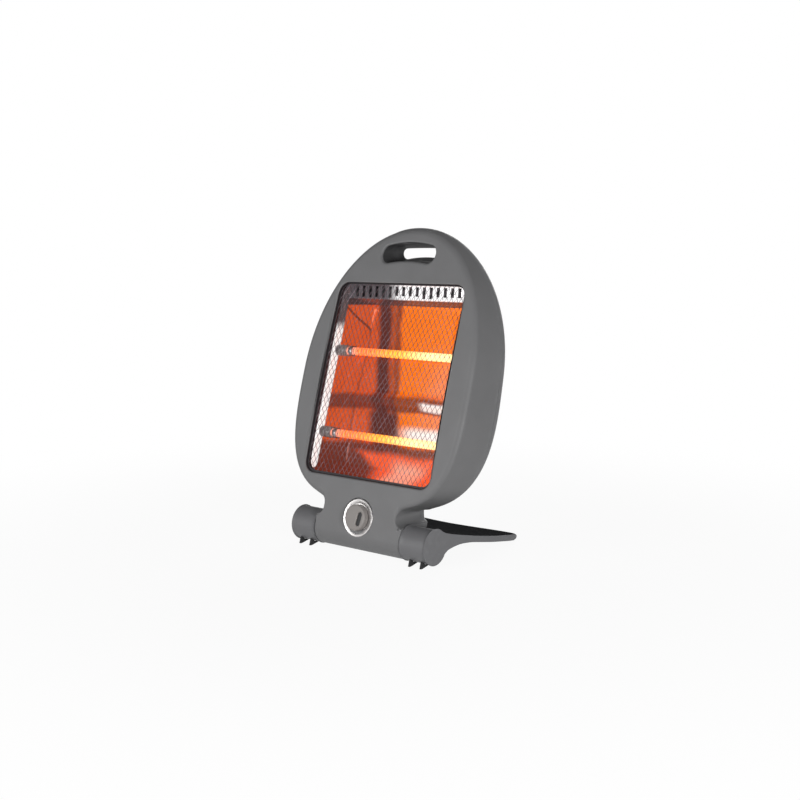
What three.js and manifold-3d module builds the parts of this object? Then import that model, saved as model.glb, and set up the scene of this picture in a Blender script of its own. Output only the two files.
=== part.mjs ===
// A portable radiant heater: an egg-shaped head with two quartz tubes behind a wire guard,
// tilting on a folding foot. Millimetres. +X is the viewer's right, +Y the back, +Z up.
import * as THREE from 'three';
import { mergeVertices } from 'three/addons/utils/BufferGeometryUtils.js';
import Module from 'manifold-3d';

const wasm = await Module();
wasm.setup();

// ---------------------------------------------------------------- driving dimensions

const GAP = 0.3; // clearance between pieces that touch
const WALL = 2.5; // moulded shell wall

// Tilt hinge: the middle barrel of the head between the two knuckles of the foot
const BARREL_RADIUS = 20;
const BARREL_LENGTH = 131.6;
const AXIS_HEIGHT = 23.25; // hinge axis above the floor
const END_WALL = 5; // end wall of the barrel, and inner wall of a knuckle
const BARREL_SIDE_GAP = 0.6; // between barrel and knuckle
const KNUCKLE_LENGTH = 36.3;
const KNUCKLE_WALL = 3;
const CAP_SKIN = 2;
const CAP_DEPTH = 8;
const BOLT_RADIUS = 3;
const BOLT_HEAD_RADIUS = 6.5;
const BOLT_HEAD_HEIGHT = 4;
const NUT_RADIUS = 5.8;
const NUT_HEIGHT = 5;
const WASHER_RADIUS = 10;
const WASHER_THICKNESS = 1.6;

// Front face: an arc in the side view, tangent to the barrel, leaning back more towards the top
const FACE_LEAN = THREE.MathUtils.degToRad(12.17);
const FACE_RADIUS = 2200;

// Head outline seen from the front, with heights above the hinge axis
const EGG_HEIGHT = 186; // level of the widest place
const EGG_HALF_WIDTH = 130;
const EGG_UP = 171;
const EGG_DOWN = 150;
const EGG_UP_POWER = 1.95;
const EGG_DOWN_POWER = 3.4;
const EGG_SIDES = 48;
const INNER_SIDES = 28;
const SIDE_DRAFT = 5; // the side wall grows by this towards the back
const TOP_DRAFT = 4;
const BOTTOM_DRAFT = 9;
const BODY_DEPTH = 74; // front face to back, at the widest place
const BACK_RADIUS = 890;
const BACK_LEAN = THREE.MathUtils.degToRad(11.7);
const FRONT_ROUND = 5;
const REAR_ROUND = 16;
const PARTING_SETBACK = 2; // from the parting line to where the back begins to round

// Neck between head and barrel
const NECK_HALF_WIDTH = 55.7;
const NECK_BACK_TOP = 41; // behind the hinge axis
const NECK_BACK_LOW = 35.5;
const NECK_BACK_LOW_HEIGHT = 6;
const NECK_OVERLAP = 24; // how far the neck runs up into the head
const NECK_NOTCH = 11; // height of the round notch under the head
const NECK_PART = 10; // the neck's parting line lies this far in from its back

// Window, guard and reflector
const WINDOW_MARGIN = 33; // from the window's side to the widest place
const WINDOW_HALF_WIDTH = EGG_HALF_WIDTH - WINDOW_MARGIN;
const WINDOW_BOTTOM = 64.6;
const WINDOW_TOP = 292.9;
const WINDOW_RADIUS = 14;
const FLANGE_DEPTH = 9;
const GRILLE_DEPTH = 4.5;
const GRILLE_WIRE = 1.2;
const GRILLE_PITCH = 28;
const GRILLE_ROW = 42;
const GRILLE_RIM = 3;
const SHEET = 1; // steel sheet
const TRAY_LIP = 3;
const TRAY_START = 10; // depth of the tray's lip behind the window plane
const TRAY_CHEEK = 7; // depth of the tray's straight cheek
const TRAY_DEPTH = 42;
const TRAY_SLOPE_X = 26; // how far the sloping side walls run in
const TRAY_SLOPE_Y = 18;
const TRAY_TAB = [11, 12];
const TRAY_TAB_OFFSET = 80;
const VENT_COUNT = 9;
const VENT_WIDTH = 5;
const RIDGE_LEVEL = -18; // from the window's middle
const RIDGE_HALF_HEIGHT = 12;
const RIDGE_REACH = 10;
const SHIELD_STANDOFF = 4;
const SHIELD_HALF = [62, 88];
const CUTOUT_PLACE = [-30, 44];
const CUTOUT_HEIGHT = 9;
const CUTOUT_RADIUS = 8;
const CUTOUT_FLANGE = [11, 1.2];

// Quartz tubes, levels from the window's middle
const TUBE_LEVELS = { upper: 37, lower: -66 };
const TUBE_DEPTH = 20;
const TUBE_RADIUS = 5.4;
const TUBE_WALL = 1.1;
const TUBE_INSET = 6; // from the window's side to the tube's end
const TUBE_LENGTH = 2 * (WINDOW_HALF_WIDTH - TUBE_INSET);
const COIL_TURNS = 10;
const COIL_WIRE = 0.6;
const CAP_RADIUS = 7;
const CAP_FLANGE_RADIUS = 8.6;
const CAP_LENGTH = 30;
const CAP_SEAT = 12; // length of tube held in a cap
const BRACKET_HALF_WIDTH = 10;
const BRACKET_REACH = 16; // past the outer tubes' axes
const BRACKET_LIP = 9;

// Handle slot
const SLOT_HALF_WIDTH = 41;
const SLOT_BOTTOM = 315.5;
const SLOT_HEIGHT = 24;
const SLOT_END_RADIUS = 9;
const SLOT_ARCH = 9;

// Selector
const KNOB_HEIGHT = 22.2; // knob axis above the hinge axis, on the front face
const DIAL_RADIUS = 22.5;
const DIAL_THICKNESS = 1;
const DIAL_RECESS = 1.6;
const KNOB_RADIUS = 16;
const KNOB_REACH = 6.5;
const KNOB_GRIP = [5, 26, 2.4];
const KNOB_TURN = THREE.MathUtils.degToRad(-10);
const BUSH_RADIUS = 5;
const SHAFT_RADIUS = 3;
const SWITCH_SIZE = [26, 26, 17];
const SWITCH_NUT_HEIGHT = 2.4;

// Tip-over switch in the barrel
const TILT_INSET = 25.8; // from the barrel's end to the switch's middle
const TILT_SIZE = [18, 16, 27]; // x, y, z
const TILT_WALL = 1.5;
const PENDULUM_LENGTH = 12;
const PENDULUM_BOB = 2.6;
const PENDULUM_PIN = 1;

// Terminal block in the barrel
const TERMINAL_INSET = 15.8; // from the barrel's end
const TERMINAL_SIZE = [26, 14, 11];
const TERMINAL_PITCH = 7;
const WELL_FLOOR = 5; // depth of a screw well

// Foot
const FOOT_REACH = 173; // hinge axis to back edge
const FOOT_SKIN = 3;
const FOOT_CORNER = 14;
const FOOT_NOTCH = 9; // hollow of the back edge
const FOOT_CUT = 50; // front edge of the plate behind the barrel
const RIB_COUNT = 4;
const TOOTH_INSETS = [8.6, 25.2]; // from the knuckle's outer end
const TOOTH_WIDTH = 2.4;
const TOOTH_FRONT = 16;
const PAD_SIZE = [26, 12];

// Vent slots in the back, in two banks
const VENT_LEVELS = [84, 240];
const VENT_ROWS = 4;
const VENT_PITCH = 11;
const VENT_HALF_LENGTH = 23;

// Fasteners, leads and cord inlet
const SCREW_RADIUS = 1.6;
const SCREW_HEAD_RADIUS = 3.6;
const SCREW_HEAD_HEIGHT = 2.2;
const BOSS_RADIUS = 4.5;
const GLAND_RADIUS = 8;
const GLAND_BORE = 4;
const GLAND_HEIGHT = 58;
const LEAD_RADIUS = 1.3;

// ---------------------------------------------------------------- small tools

const X = new THREE.Vector3(1, 0, 0);
const Y = new THREE.Vector3(0, 1, 0);
const Z = new THREE.Vector3(0, 0, 1);
const DOWN_Y = new THREE.Vector3(0, -1, 0);

function solid(geometry) {
  const bare = geometry.clone();
  bare.deleteAttribute('normal');
  bare.deleteAttribute('uv');
  const merged = mergeVertices(bare, 1e-4);
  const mesh = new wasm.Mesh({
    numProp: 3,
    vertProperties: merged.attributes.position.array,
    triVerts: merged.index.array,
  });
  return new wasm.Manifold(mesh);
}

function geometryOf(body) {
  const mesh = body.getMesh();
  const geometry = new THREE.BufferGeometry();
  geometry.setAttribute('position', new THREE.BufferAttribute(mesh.vertProperties, 3));
  geometry.setIndex(new THREE.BufferAttribute(mesh.triVerts, 1));
  geometry.computeVertexNormals();
  return geometry;
}

function join(...geometries) {
  return geometries.map(solid).reduce((sum, next) => sum.add(next));
}

function shapeOf(points) {
  return new THREE.Shape(points.map(([a, b]) => new THREE.Vector2(a, b)));
}

function prism(points, length, basis, holes = []) {
  const shape = shapeOf(points);
  for (const hole of holes) {
    shape.holes.push(new THREE.Path(hole.map(([a, b]) => new THREE.Vector2(a, b))));
  }
  const geometry = new THREE.ExtrudeGeometry(shape, { depth: length, bevelEnabled: false });
  return geometry.applyMatrix4(new THREE.Matrix4().makeBasis(...basis));
}

// Prisms of an outline in the side view (y, z), the front view (x, z) and the plan (x, y)
const alongX = (points, x0, x1) => prism(points, x1 - x0, [Y, Z, X]).translate(x0, 0, 0);
const alongY = (points, y0, y1, holes) => prism(points, y1 - y0, [X, Z, DOWN_Y], holes).translate(0, y1, 0);
const alongZ = (points, z0, z1, holes) => prism(points, z1 - z0, [X, Y, Z], holes).translate(0, 0, z0);

function arc(centreA, centreB, radius, from, to, steps) {
  const points = [];
  for (let i = 0; i <= steps; i += 1) {
    const angle = from + ((to - from) * i) / steps;
    points.push([centreA + radius * Math.cos(angle), centreB + radius * Math.sin(angle)]);
  }
  return points;
}

const circle = (a, b, radius, sides = 20) => arc(a, b, radius, 0, 2 * Math.PI, sides).slice(0, -1);

const rectangle = (a0, b0, a1, b1) => [[a0, b0], [a1, b0], [a1, b1], [a0, b1]];

function roundedRectangle(a0, b0, a1, b1, radius, steps = 4) {
  const q = Math.PI / 2;
  return [
    ...arc(a1 - radius, b1 - radius, radius, 0, q, steps),
    ...arc(a0 + radius, b1 - radius, radius, q, 2 * q, steps),
    ...arc(a0 + radius, b0 + radius, radius, 2 * q, 3 * q, steps),
    ...arc(a1 - radius, b0 + radius, radius, 3 * q, 4 * q, steps),
  ];
}

// Turned pieces: closed profiles of [radius, height]
function turnedZ(profile, sides = 24) {
  const points = profile.map(([r, z]) => new THREE.Vector2(r, z));
  return new THREE.LatheGeometry(points, sides).rotateX(Math.PI / 2);
}

const turnedX = (profile, sides) => turnedZ(profile, sides).rotateY(Math.PI / 2);

const box = (x0, y0, z0, x1, y1, z1) => alongZ(rectangle(x0, y0, x1, y1), z0, z1);

const between = (a, b) => [Math.min(a, b), Math.max(a, b)];

const span = (from, to, count) => Array.from({ length: count }, (_, i) => from + ((to - from) * i) / (count - 1));

// A closed skin over a stack of rings that run clockwise about the way the stack goes
function loft(rings, first, last) {
  const count = rings[0].length;
  const points = [...rings.flat(), first, last];
  const faces = [];
  for (let r = 0; r + 1 < rings.length; r += 1) {
    for (let i = 0; i < count; i += 1) {
      const a = r * count + i;
      const b = r * count + ((i + 1) % count);
      faces.push(a, a + count, b, b, a + count, b + count);
    }
  }
  const tail = (rings.length - 1) * count;
  for (let i = 0; i < count; i += 1) {
    const next = (i + 1) % count;
    faces.push(rings.length * count, i, next);
    faces.push(rings.length * count + 1, tail + next, tail + i);
  }
  const geometry = new THREE.BufferGeometry();
  geometry.setAttribute('position', new THREE.Float32BufferAttribute(points.flat(), 3));
  geometry.setIndex(faces);
  return geometry;
}

function finish(color, roughness, metalness) {
  return new THREE.MeshStandardMaterial({ color, roughness, metalness });
}

const FINISHES = {
  body: finish(0x707072, 0.5, 0),
  foot: finish(0x68686a, 0.5, 0),
  black_rubber: finish(0x1c1c1e, 0.8, 0),
  guard: finish(0xb4a096, 0.35, 1),
  polished: finish(0xe8e4e0, 0.12, 1),
  steel: finish(0xa8a8aa, 0.35, 1),
  quartz: finish(0xffb050, 0.1, 0),
  glow: finish(0xff7a18, 0.6, 0.3),
  ceramic: finish(0xb0aca6, 0.7, 0),
  dial: finish(0xd6d2d0, 0.35, 0.6),
  knob: finish(0x827d7a, 0.45, 0),
  black_plastic: finish(0x222224, 0.6, 0),
  lead: finish(0x3a2a26, 0.7, 0),
};

function piece(group, name, shape, material) {
  const geometry = shape instanceof THREE.BufferGeometry ? shape : geometryOf(shape);
  const mesh = new THREE.Mesh(geometry, FINISHES[material]);
  mesh.name = name;
  group.add(mesh);
  return mesh;
}

// ---------------------------------------------------------------- shared surfaces of the head

const BARREL_HALF = BARREL_LENGTH / 2;
const FACE_CENTRE_Y = (FACE_RADIUS - BARREL_RADIUS) * Math.cos(FACE_LEAN);
const FACE_CENTRE_Z = -(FACE_RADIUS - BARREL_RADIUS) * Math.sin(FACE_LEAN);

// How far back the front face lies at a height, and the same for a surface under its skin
function faceY(z, depth = 0) {
  const radius = FACE_RADIUS - depth;
  return FACE_CENTRE_Y - Math.sqrt(radius ** 2 - (z - FACE_CENTRE_Z) ** 2);
}

const BACK_CENTRE_Z = EGG_HEIGHT + BACK_RADIUS * Math.sin(BACK_LEAN);
const BACK_CENTRE_Y = faceY(EGG_HEIGHT) + BODY_DEPTH - BACK_RADIUS * Math.cos(BACK_LEAN);

function backY(z, depth = 0) {
  const radius = BACK_RADIUS - depth;
  return BACK_CENTRE_Y + Math.sqrt(radius ** 2 - (z - BACK_CENTRE_Z) ** 2);
}

function eggRadius(angle, grow = 0) {
  const up = Math.sin(angle) > 0;
  const power = up ? EGG_UP_POWER : EGG_DOWN_POWER;
  const across = Math.abs(Math.cos(angle) / EGG_HALF_WIDTH) ** power;
  const along = Math.abs(Math.sin(angle) / (up ? EGG_UP : EGG_DOWN)) ** power;
  return (across + along) ** (-1 / power) + grow;
}

function draftAt(angle) {
  const rise = Math.sin(angle);
  return SIDE_DRAFT + ((rise > 0 ? TOP_DRAFT : BOTTOM_DRAFT) - SIDE_DRAFT) * rise ** 2;
}

// One ring of the head's skin: outline grown by grow and a share of the draft, or scaled by share
function eggRing(sides, grow, draft, yAt, share = 1) {
  return Array.from({ length: sides }, (_, i) => {
    const angle = (2 * Math.PI * i) / sides;
    const radius = eggRadius(angle, grow + draft * draftAt(angle)) * share;
    const z = EGG_HEIGHT + radius * Math.sin(angle);
    return [radius * Math.cos(angle), yAt(z), z];
  });
}

function headSolid(inset) {
  const face = (step) => (z) => faceY(z, inset) + step;
  const back = (step) => (z) => backY(z, inset) - step;
  const inside = inset > 0;
  const ring = (...shape) => eggRing(inside ? INNER_SIDES : EGG_SIDES, ...shape);
  const frontRound = [ring(-inset - FRONT_ROUND * 0.3, 0, face(FRONT_ROUND * 0.3))];
  const rearRound = [
    ring(-inset - REAR_ROUND * 0.13, 1, back(REAR_ROUND * 0.5)),
    ring(-inset - REAR_ROUND * 0.5, 1, back(REAR_ROUND * 0.13)),
  ];
  const rings = [
    ring(-inset - FRONT_ROUND, 0, face(0), 0.55),
    ring(-inset - FRONT_ROUND, 0, face(0)),
    ...(inside ? [] : frontRound),
    ring(-inset, 0, face(FRONT_ROUND)),
    ring(-inset, 1, back(REAR_ROUND)),
    ...(inside ? [] : rearRound),
    ring(-inset - REAR_ROUND, 1, back(0)),
    ring(-inset - REAR_ROUND, 1, back(0), 0.55),
  ];
  const first = [0, faceY(EGG_HEIGHT, inset), EGG_HEIGHT];
  const last = [0, backY(EGG_HEIGHT, inset), EGG_HEIGHT];
  return solid(loft(rings, first, last));
}

const EGG_BOTTOM = EGG_HEIGHT - EGG_DOWN;
const NECK_TOP = EGG_BOTTOM + NECK_OVERLAP;

// Side view of the neck: front arc down to the barrel, and the straight back above the barrel
function neckProfile(inset) {
  const radius = BARREL_RADIUS - inset;
  const tangent = radius * Math.sin(FACE_LEAN);
  const low = -Math.PI / 4;
  return [
    ...span(NECK_TOP, tangent, 8).map((z) => [faceY(z, inset), z]),
    [0, -radius / 2],
    [radius * Math.cos(low), radius * Math.sin(low)],
    [NECK_BACK_LOW - inset, NECK_BACK_LOW_HEIGHT],
    [NECK_BACK_TOP - inset, NECK_BACK_LOW_HEIGHT + BARREL_RADIUS],
    [NECK_BACK_TOP - inset, NECK_TOP],
  ];
}

// Front view of the neck: narrow between the barrel's corner and the head
function neckOutline(inset) {
  const waist = BARREL_RADIUS + NECK_NOTCH * 0.8;
  const top = EGG_BOTTOM + NECK_NOTCH * 0.5;
  const half = NECK_HALF_WIDTH - inset;
  const flare = BARREL_HALF - inset;
  const side = [
    [flare, BARREL_RADIUS - NECK_NOTCH * 0.4],
    [half + NECK_NOTCH * 0.25, BARREL_RADIUS + NECK_NOTCH * 0.1],
    [half, waist],
    [half + NECK_NOTCH * 0.12, top - NECK_NOTCH * 0.2],
    [half + NECK_NOTCH * 0.65, top],
    [half + NECK_NOTCH * 0.65, NECK_TOP],
  ];
  const foot = [[-flare, -BARREL_RADIUS], [flare, -BARREL_RADIUS]];
  return [...side, ...side.map(([x, z]) => [-x, z]).reverse(), ...foot];
}

function neckSolid(inset) {
  const sideways = solid(alongX(neckProfile(inset), -BARREL_LENGTH, BARREL_LENGTH));
  return sideways.intersect(solid(alongY(neckOutline(inset), -BODY_DEPTH, BODY_DEPTH)));
}

const barrelSolid = (radius, half) => solid(alongX(circle(0, 0, radius, 32), -half, half));

// What lies behind the parting line between front and rear shell, moved back by shift
function behindParting(shift) {
  const seam = (z) => backY(z) - REAR_ROUND - PARTING_SETBACK + shift;
  const top = EGG_HEIGHT + EGG_UP + 2 * WALL;
  const bottom = EGG_BOTTOM + NECK_NOTCH * 0.5;
  const far = 4 * BODY_DEPTH;
  const line = [
    ...span(top, bottom, 16).map((z) => [seam(z), z]),
    [NECK_BACK_TOP - NECK_PART + shift, BARREL_RADIUS],
    [NECK_BACK_LOW - NECK_PART + shift, NECK_BACK_LOW_HEIGHT],
    [BARREL_RADIUS + 1 + shift, 0],
    [BARREL_RADIUS + 1 + shift, -BARREL_RADIUS - WALL],
    [far, -BARREL_RADIUS - WALL],
    [far, top],
  ];
  const reach = 2 * EGG_HALF_WIDTH;
  return solid(alongX(line, -reach, reach));
}

// Handle slot seen from the front: round ends, both long sides arched like the top of the head
function slotOutline(grow) {
  const r = SLOT_END_RADIUS + grow;
  const across = SLOT_HALF_WIDTH - SLOT_END_RADIUS;
  const level = SLOT_BOTTOM + SLOT_END_RADIUS;
  const crown = SLOT_HEIGHT - 2 * SLOT_END_RADIUS;
  const q = Math.PI / 2;
  const arch = (x, rise) => rise * (1 - (x / across) ** 2);
  return [
    ...arc(across, level, r, -q, q, 4),
    ...span(across, -across, 7).slice(1, -1).map((x) => [x, level + r + arch(x, crown)]),
    ...arc(-across, level, r, q, 3 * q, 4),
    ...span(-across, across, 7).slice(1, -1).map((x) => [x, level - r + arch(x, SLOT_ARCH * 0.28)]),
  ];
}

// The knob stands square to the front face at its own height
const KNOB_LEAN = Math.asin((KNOB_HEIGHT - FACE_CENTRE_Z) / FACE_RADIUS);
const KNOB_PLACE = new THREE.Vector3(0, faceY(KNOB_HEIGHT), KNOB_HEIGHT);

// The window plane is the chord of the front face from the window's bottom to its top edge
const WINDOW_LEAN = Math.atan2(faceY(WINDOW_TOP) - faceY(WINDOW_BOTTOM), WINDOW_TOP - WINDOW_BOTTOM);
const WINDOW_MIDDLE = (WINDOW_TOP + WINDOW_BOTTOM) / 2;
const WINDOW_HALF_HEIGHT = (WINDOW_TOP - WINDOW_BOTTOM) / 2 / Math.cos(WINDOW_LEAN);
const WINDOW_PLACE = new THREE.Vector3(0, (faceY(WINDOW_TOP) + faceY(WINDOW_BOTTOM)) / 2, WINDOW_MIDDLE);

// A frame on the front: x across, y up the face, z out of it
function faceFrame(lean, place) {
  const up = new THREE.Vector3(0, Math.sin(lean), Math.cos(lean));
  const out = new THREE.Vector3(0, -Math.cos(lean), Math.sin(lean));
  return new THREE.Matrix4().makeBasis(X, up, out).setPosition(place);
}

const KNOB_FRAME = faceFrame(KNOB_LEAN, KNOB_PLACE);
const WINDOW_FRAME = faceFrame(WINDOW_LEAN, WINDOW_PLACE);

function framedGroup(frame) {
  const group = new THREE.Group();
  group.applyMatrix4(frame);
  return group;
}

// ---------------------------------------------------------------- shells

const windowOutline = (grow) => roundedRectangle(
  -WINDOW_HALF_WIDTH - grow,
  WINDOW_BOTTOM - grow,
  WINDOW_HALF_WIDTH + grow,
  WINDOW_TOP + grow,
  WINDOW_RADIUS + grow,
  4,
);

// A slab between two depths behind the front face
function faceSlab(from, to) {
  const heights = span(WINDOW_BOTTOM - 3 * WALL, WINDOW_TOP + 3 * WALL, 7);
  const front = heights.map((z) => [faceY(z, from), z]);
  const back = heights.map((z) => [faceY(z, to), z]).reverse();
  return solid(alongX([...front, ...back], -2 * EGG_HALF_WIDTH, 2 * EGG_HALF_WIDTH));
}

const SCREW_PLACES = {
  upper: [SLOT_HALF_WIDTH + 21, WINDOW_TOP + WALL + BOSS_RADIUS + 3],
  middle: [(WINDOW_HALF_WIDTH + EGG_HALF_WIDTH) / 2, EGG_HEIGHT - 26],
  lower: [WINDOW_HALF_WIDTH - 17, WINDOW_BOTTOM - WALL - BOSS_RADIUS - 5],
};
const SHELL_SCREWS = Object.values(SCREW_PLACES).flatMap(([x, z]) => [[-x, z], [x, z]]);

const seamY = (z) => backY(z) - REAR_ROUND - PARTING_SETBACK;
const TAB_X = WINDOW_HALF_WIDTH + TRAY_TAB[0] / 2 + TRAY_LIP;

function shellBody() {
  const outer = headSolid(0).add(neckSolid(0)).add(barrelSolid(BARREL_RADIUS, BARREL_HALF));
  const cavity = headSolid(WALL)
    .add(neckSolid(WALL))
    .add(barrelSolid(BARREL_RADIUS - WALL, BARREL_HALF - END_WALL));
  const reach = 2 * BODY_DEPTH;
  const slotWall = solid(alongY(slotOutline(WALL), 0, reach)).intersect(outer);
  return outer.subtract(cavity).add(slotWall).subtract(solid(alongY(slotOutline(0), 0, reach)));
}

// Seats cut in the barrel's ends for the hinge bolt and its friction washer
function hingeSeats() {
  const hole = alongX(circle(0, 0, BOLT_RADIUS + GAP, 12), -2 * BARREL_HALF, 2 * BARREL_HALF);
  const depth = WASHER_THICKNESS - BARREL_SIDE_GAP + 2 * GAP;
  const seat = circle(0, 0, WASHER_RADIUS + 2 * GAP, 20);
  const right = alongX(seat, BARREL_HALF - depth, BARREL_HALF + WALL);
  const left = alongX(seat, -BARREL_HALF - WALL, -BARREL_HALF + depth);
  return join(hole, right, left);
}

function trayBosses() {
  const stems = [];
  for (const side of [-1, 1]) {
    for (const level of [-1, 1]) {
      const ring = circle(side * TAB_X, level * TRAY_TAB_OFFSET, BOSS_RADIUS, 8);
      stems.push(alongZ(ring, -TRAY_START + GAP, 0).applyMatrix4(WINDOW_FRAME));
    }
  }
  return join(...stems);
}

function trayPilots() {
  const holes = [];
  for (const side of [-1, 1]) {
    for (const level of [-1, 1]) {
      const ring = circle(side * TAB_X, level * TRAY_TAB_OFFSET, SCREW_RADIUS + GAP, 8);
      holes.push(alongZ(ring, -TRAY_START, -TRAY_START + 7).applyMatrix4(WINDOW_FRAME));
    }
  }
  return join(...holes);
}

function frontShell(body) {
  const front = body.subtract(behindParting(-GAP / 2));
  const flangeRing = alongY(windowOutline(WALL), -BODY_DEPTH, 2 * BODY_DEPTH, [windowOutline(0)]);
  const flange = solid(flangeRing).intersect(faceSlab(0.5, FLANGE_DEPTH));
  const pad = alongZ(circle(0, 0, DIAL_RADIUS + WALL, 28), -DIAL_RECESS - DIAL_THICKNESS - WALL, -0.8);
  const recess = alongZ(circle(0, 0, DIAL_RADIUS + GAP, 28), -DIAL_RECESS - DIAL_THICKNESS, WALL);
  const bushHole = alongZ(circle(0, 0, BUSH_RADIUS + GAP, 16), -4 * WALL, WALL);
  const stems = SHELL_SCREWS.map(([x, z]) => alongY(circle(x, z, BOSS_RADIUS, 8), faceY(z) + 1, seamY(z) - GAP));
  const pilots = SHELL_SCREWS.map(([x, z]) => alongY(circle(x, z, SCREW_RADIUS + GAP, 8), seamY(z) - 14, seamY(z) + 1));
  return front
    .add(flange)
    .add(solid(pad.applyMatrix4(KNOB_FRAME)))
    .add(join(...stems))
    .add(trayBosses())
    .subtract(solid(alongY(windowOutline(0), -BODY_DEPTH, 2 * BODY_DEPTH)).intersect(faceSlab(-9, 9 + WALL)))
    .subtract(solid(recess.applyMatrix4(KNOB_FRAME)))
    .subtract(solid(bushHole.applyMatrix4(KNOB_FRAME)))
    .subtract(join(...pilots))
    .subtract(trayPilots())
    .subtract(hingeSeats());
}

// Vent slots in the back: two banks of short slots
function backVents() {
  const rows = [];
  for (const level of VENT_LEVELS) {
    for (let i = 0; i < VENT_ROWS; i += 1) {
      const z = level + i * VENT_PITCH;
      for (const side of [-1, 1]) {
        const middle = side * (VENT_HALF_LENGTH + 8);
        const slot = rectangle(middle - VENT_HALF_LENGTH, z - 2, middle + VENT_HALF_LENGTH, z + 2);
        rows.push(alongY(slot, backY(z) - 2 * WALL, backY(z) + 2 * WALL));
      }
    }
  }
  return join(...rows);
}

function rearShell(body) {
  const rear = body.intersect(behindParting(GAP / 2));
  const tubes = [];
  const seats = [];
  for (const [x, z] of SHELL_SCREWS) {
    const floor = SCREW_FLOOR(z);
    tubes.push(alongY(circle(x, z, SCREW_HEAD_RADIUS + GAP + WALL * 0.8, 10), seamY(z) + GAP, backY(z) - 1));
    seats.push(alongY(circle(x, z, SCREW_HEAD_RADIUS + GAP, 10), floor, backY(z) + WALL));
    seats.push(alongY(circle(x, z, SCREW_RADIUS + GAP, 8), seamY(z) - WALL, floor + WALL));
  }
  const cordHole = alongY(circle(0, GLAND_HEIGHT, GLAND_RADIUS - WALL + GAP, 18), 0, 2 * BODY_DEPTH);
  return rear
    .add(join(...tubes).intersect(headSolid(0)))
    .subtract(join(...seats))
    .subtract(solid(cordHole).intersect(behindParting(0)))
    .subtract(backVents())
    .subtract(hingeSeats());
}

// ---------------------------------------------------------------- guard

// Diamond mesh inside a flat rim, bent to follow the front face
function grille() {
  const outer = windowOutline(-GAP);
  const middle = (WINDOW_TOP + WINDOW_BOTTOM) / 2;
  const sheet = solid(alongY(outer, -GRILLE_WIRE / 2, GRILLE_WIRE / 2));
  const rim = solid(alongY(outer, -GRILLE_WIRE / 2, GRILLE_WIRE / 2, [windowOutline(-GAP - GRILLE_RIM)]));
  const slope = Math.atan2(GRILLE_ROW, GRILLE_PITCH);
  const reach = WINDOW_TOP - WINDOW_BOTTOM;
  const strips = [];
  const count = Math.ceil((WINDOW_HALF_WIDTH + reach / 2 / Math.tan(slope)) / GRILLE_PITCH);
  for (let i = -count; i <= count; i += 1) {
    for (const way of [-1, 1]) {
      const strip = box(-reach, -GRILLE_WIRE / 2, -GRILLE_WIRE / 2, reach, GRILLE_WIRE / 2, GRILLE_WIRE / 2);
      strips.push(strip.rotateY(-way * slope).translate(i * GRILLE_PITCH, 0, middle));
    }
  }
  const net = join(...strips).intersect(sheet).add(rim);
  const geometry = geometryOf(net);
  const position = geometry.attributes.position;
  for (let i = 0; i < position.count; i += 1) {
    position.setY(i, position.getY(i) + faceY(position.getZ(i), GRILLE_DEPTH));
  }
  geometry.computeVertexNormals();
  return geometry;
}

// ---------------------------------------------------------------- reflector and heat shield

function trayRing(grow, inX, inY, depth) {
  const halfX = WINDOW_HALF_WIDTH + grow - inX;
  const halfY = WINDOW_HALF_HEIGHT + grow - inY;
  const radius = WINDOW_RADIUS + grow - Math.min(inX, inY) * 0.3;
  return roundedRectangle(-halfX, -halfY, halfX, halfY, radius, 3).map(([x, y]) => [x, y, -depth]);
}

const TRAY_BEND = TRAY_START + TRAY_CHEEK;

// The tray's hollow, shrunk by inset
function trayHollow(inset) {
  const rings = [
    trayRing(-inset, 0, 0, 0),
    trayRing(-inset, 0, 0, TRAY_START),
    trayRing(-inset, 1, 1, TRAY_BEND),
    trayRing(-inset, TRAY_SLOPE_X, TRAY_SLOPE_Y, TRAY_DEPTH - inset),
  ];
  return solid(loft(rings, [0, 0, 0], [0, 0, inset - TRAY_DEPTH]));
}

function reflectorTray() {
  const rings = [
    trayRing(TRAY_LIP, 0, 0, TRAY_START),
    trayRing(TRAY_LIP, 0, 0, TRAY_START + SHEET),
    trayRing(SHEET, 0, 0, TRAY_START + SHEET),
    trayRing(SHEET, 1, 1, TRAY_BEND),
    trayRing(SHEET, TRAY_SLOPE_X, TRAY_SLOPE_Y, TRAY_DEPTH + SHEET),
  ];
  const skin = solid(loft(rings, [0, 0, -TRAY_START], [0, 0, -TRAY_DEPTH - SHEET]));
  const [tabWidth, tabHeight] = TRAY_TAB;
  const tabs = [];
  const holes = [];
  for (const side of [-1, 1]) {
    for (const level of [-1, 1]) {
      const x = side * TAB_X;
      const y = level * TRAY_TAB_OFFSET;
      const halfW = tabWidth / 2 + 1;
      const outline = rectangle(x - halfW, y - tabHeight / 2, x + halfW, y + tabHeight / 2);
      tabs.push(alongZ(outline, -TRAY_START - SHEET, -TRAY_START));
      holes.push(alongZ(circle(x, y, SCREW_RADIUS + GAP, 8), -TRAY_START - 2 * SHEET, 0));
    }
  }
  const capHoles = Object.values(TUBE_LEVELS).map((level) => (
    alongX(circle(level, -TUBE_DEPTH, CAP_RADIUS + 2 * GAP, 12), -2 * WINDOW_HALF_WIDTH, 2 * WINDOW_HALF_WIDTH)
  ));
  return skin
    .add(join(...tabs))
    .subtract(trayHollow(0))
    .subtract(join(...holes))
    .subtract(join(...capHoles))
    .subtract(trayVents());
}

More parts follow.
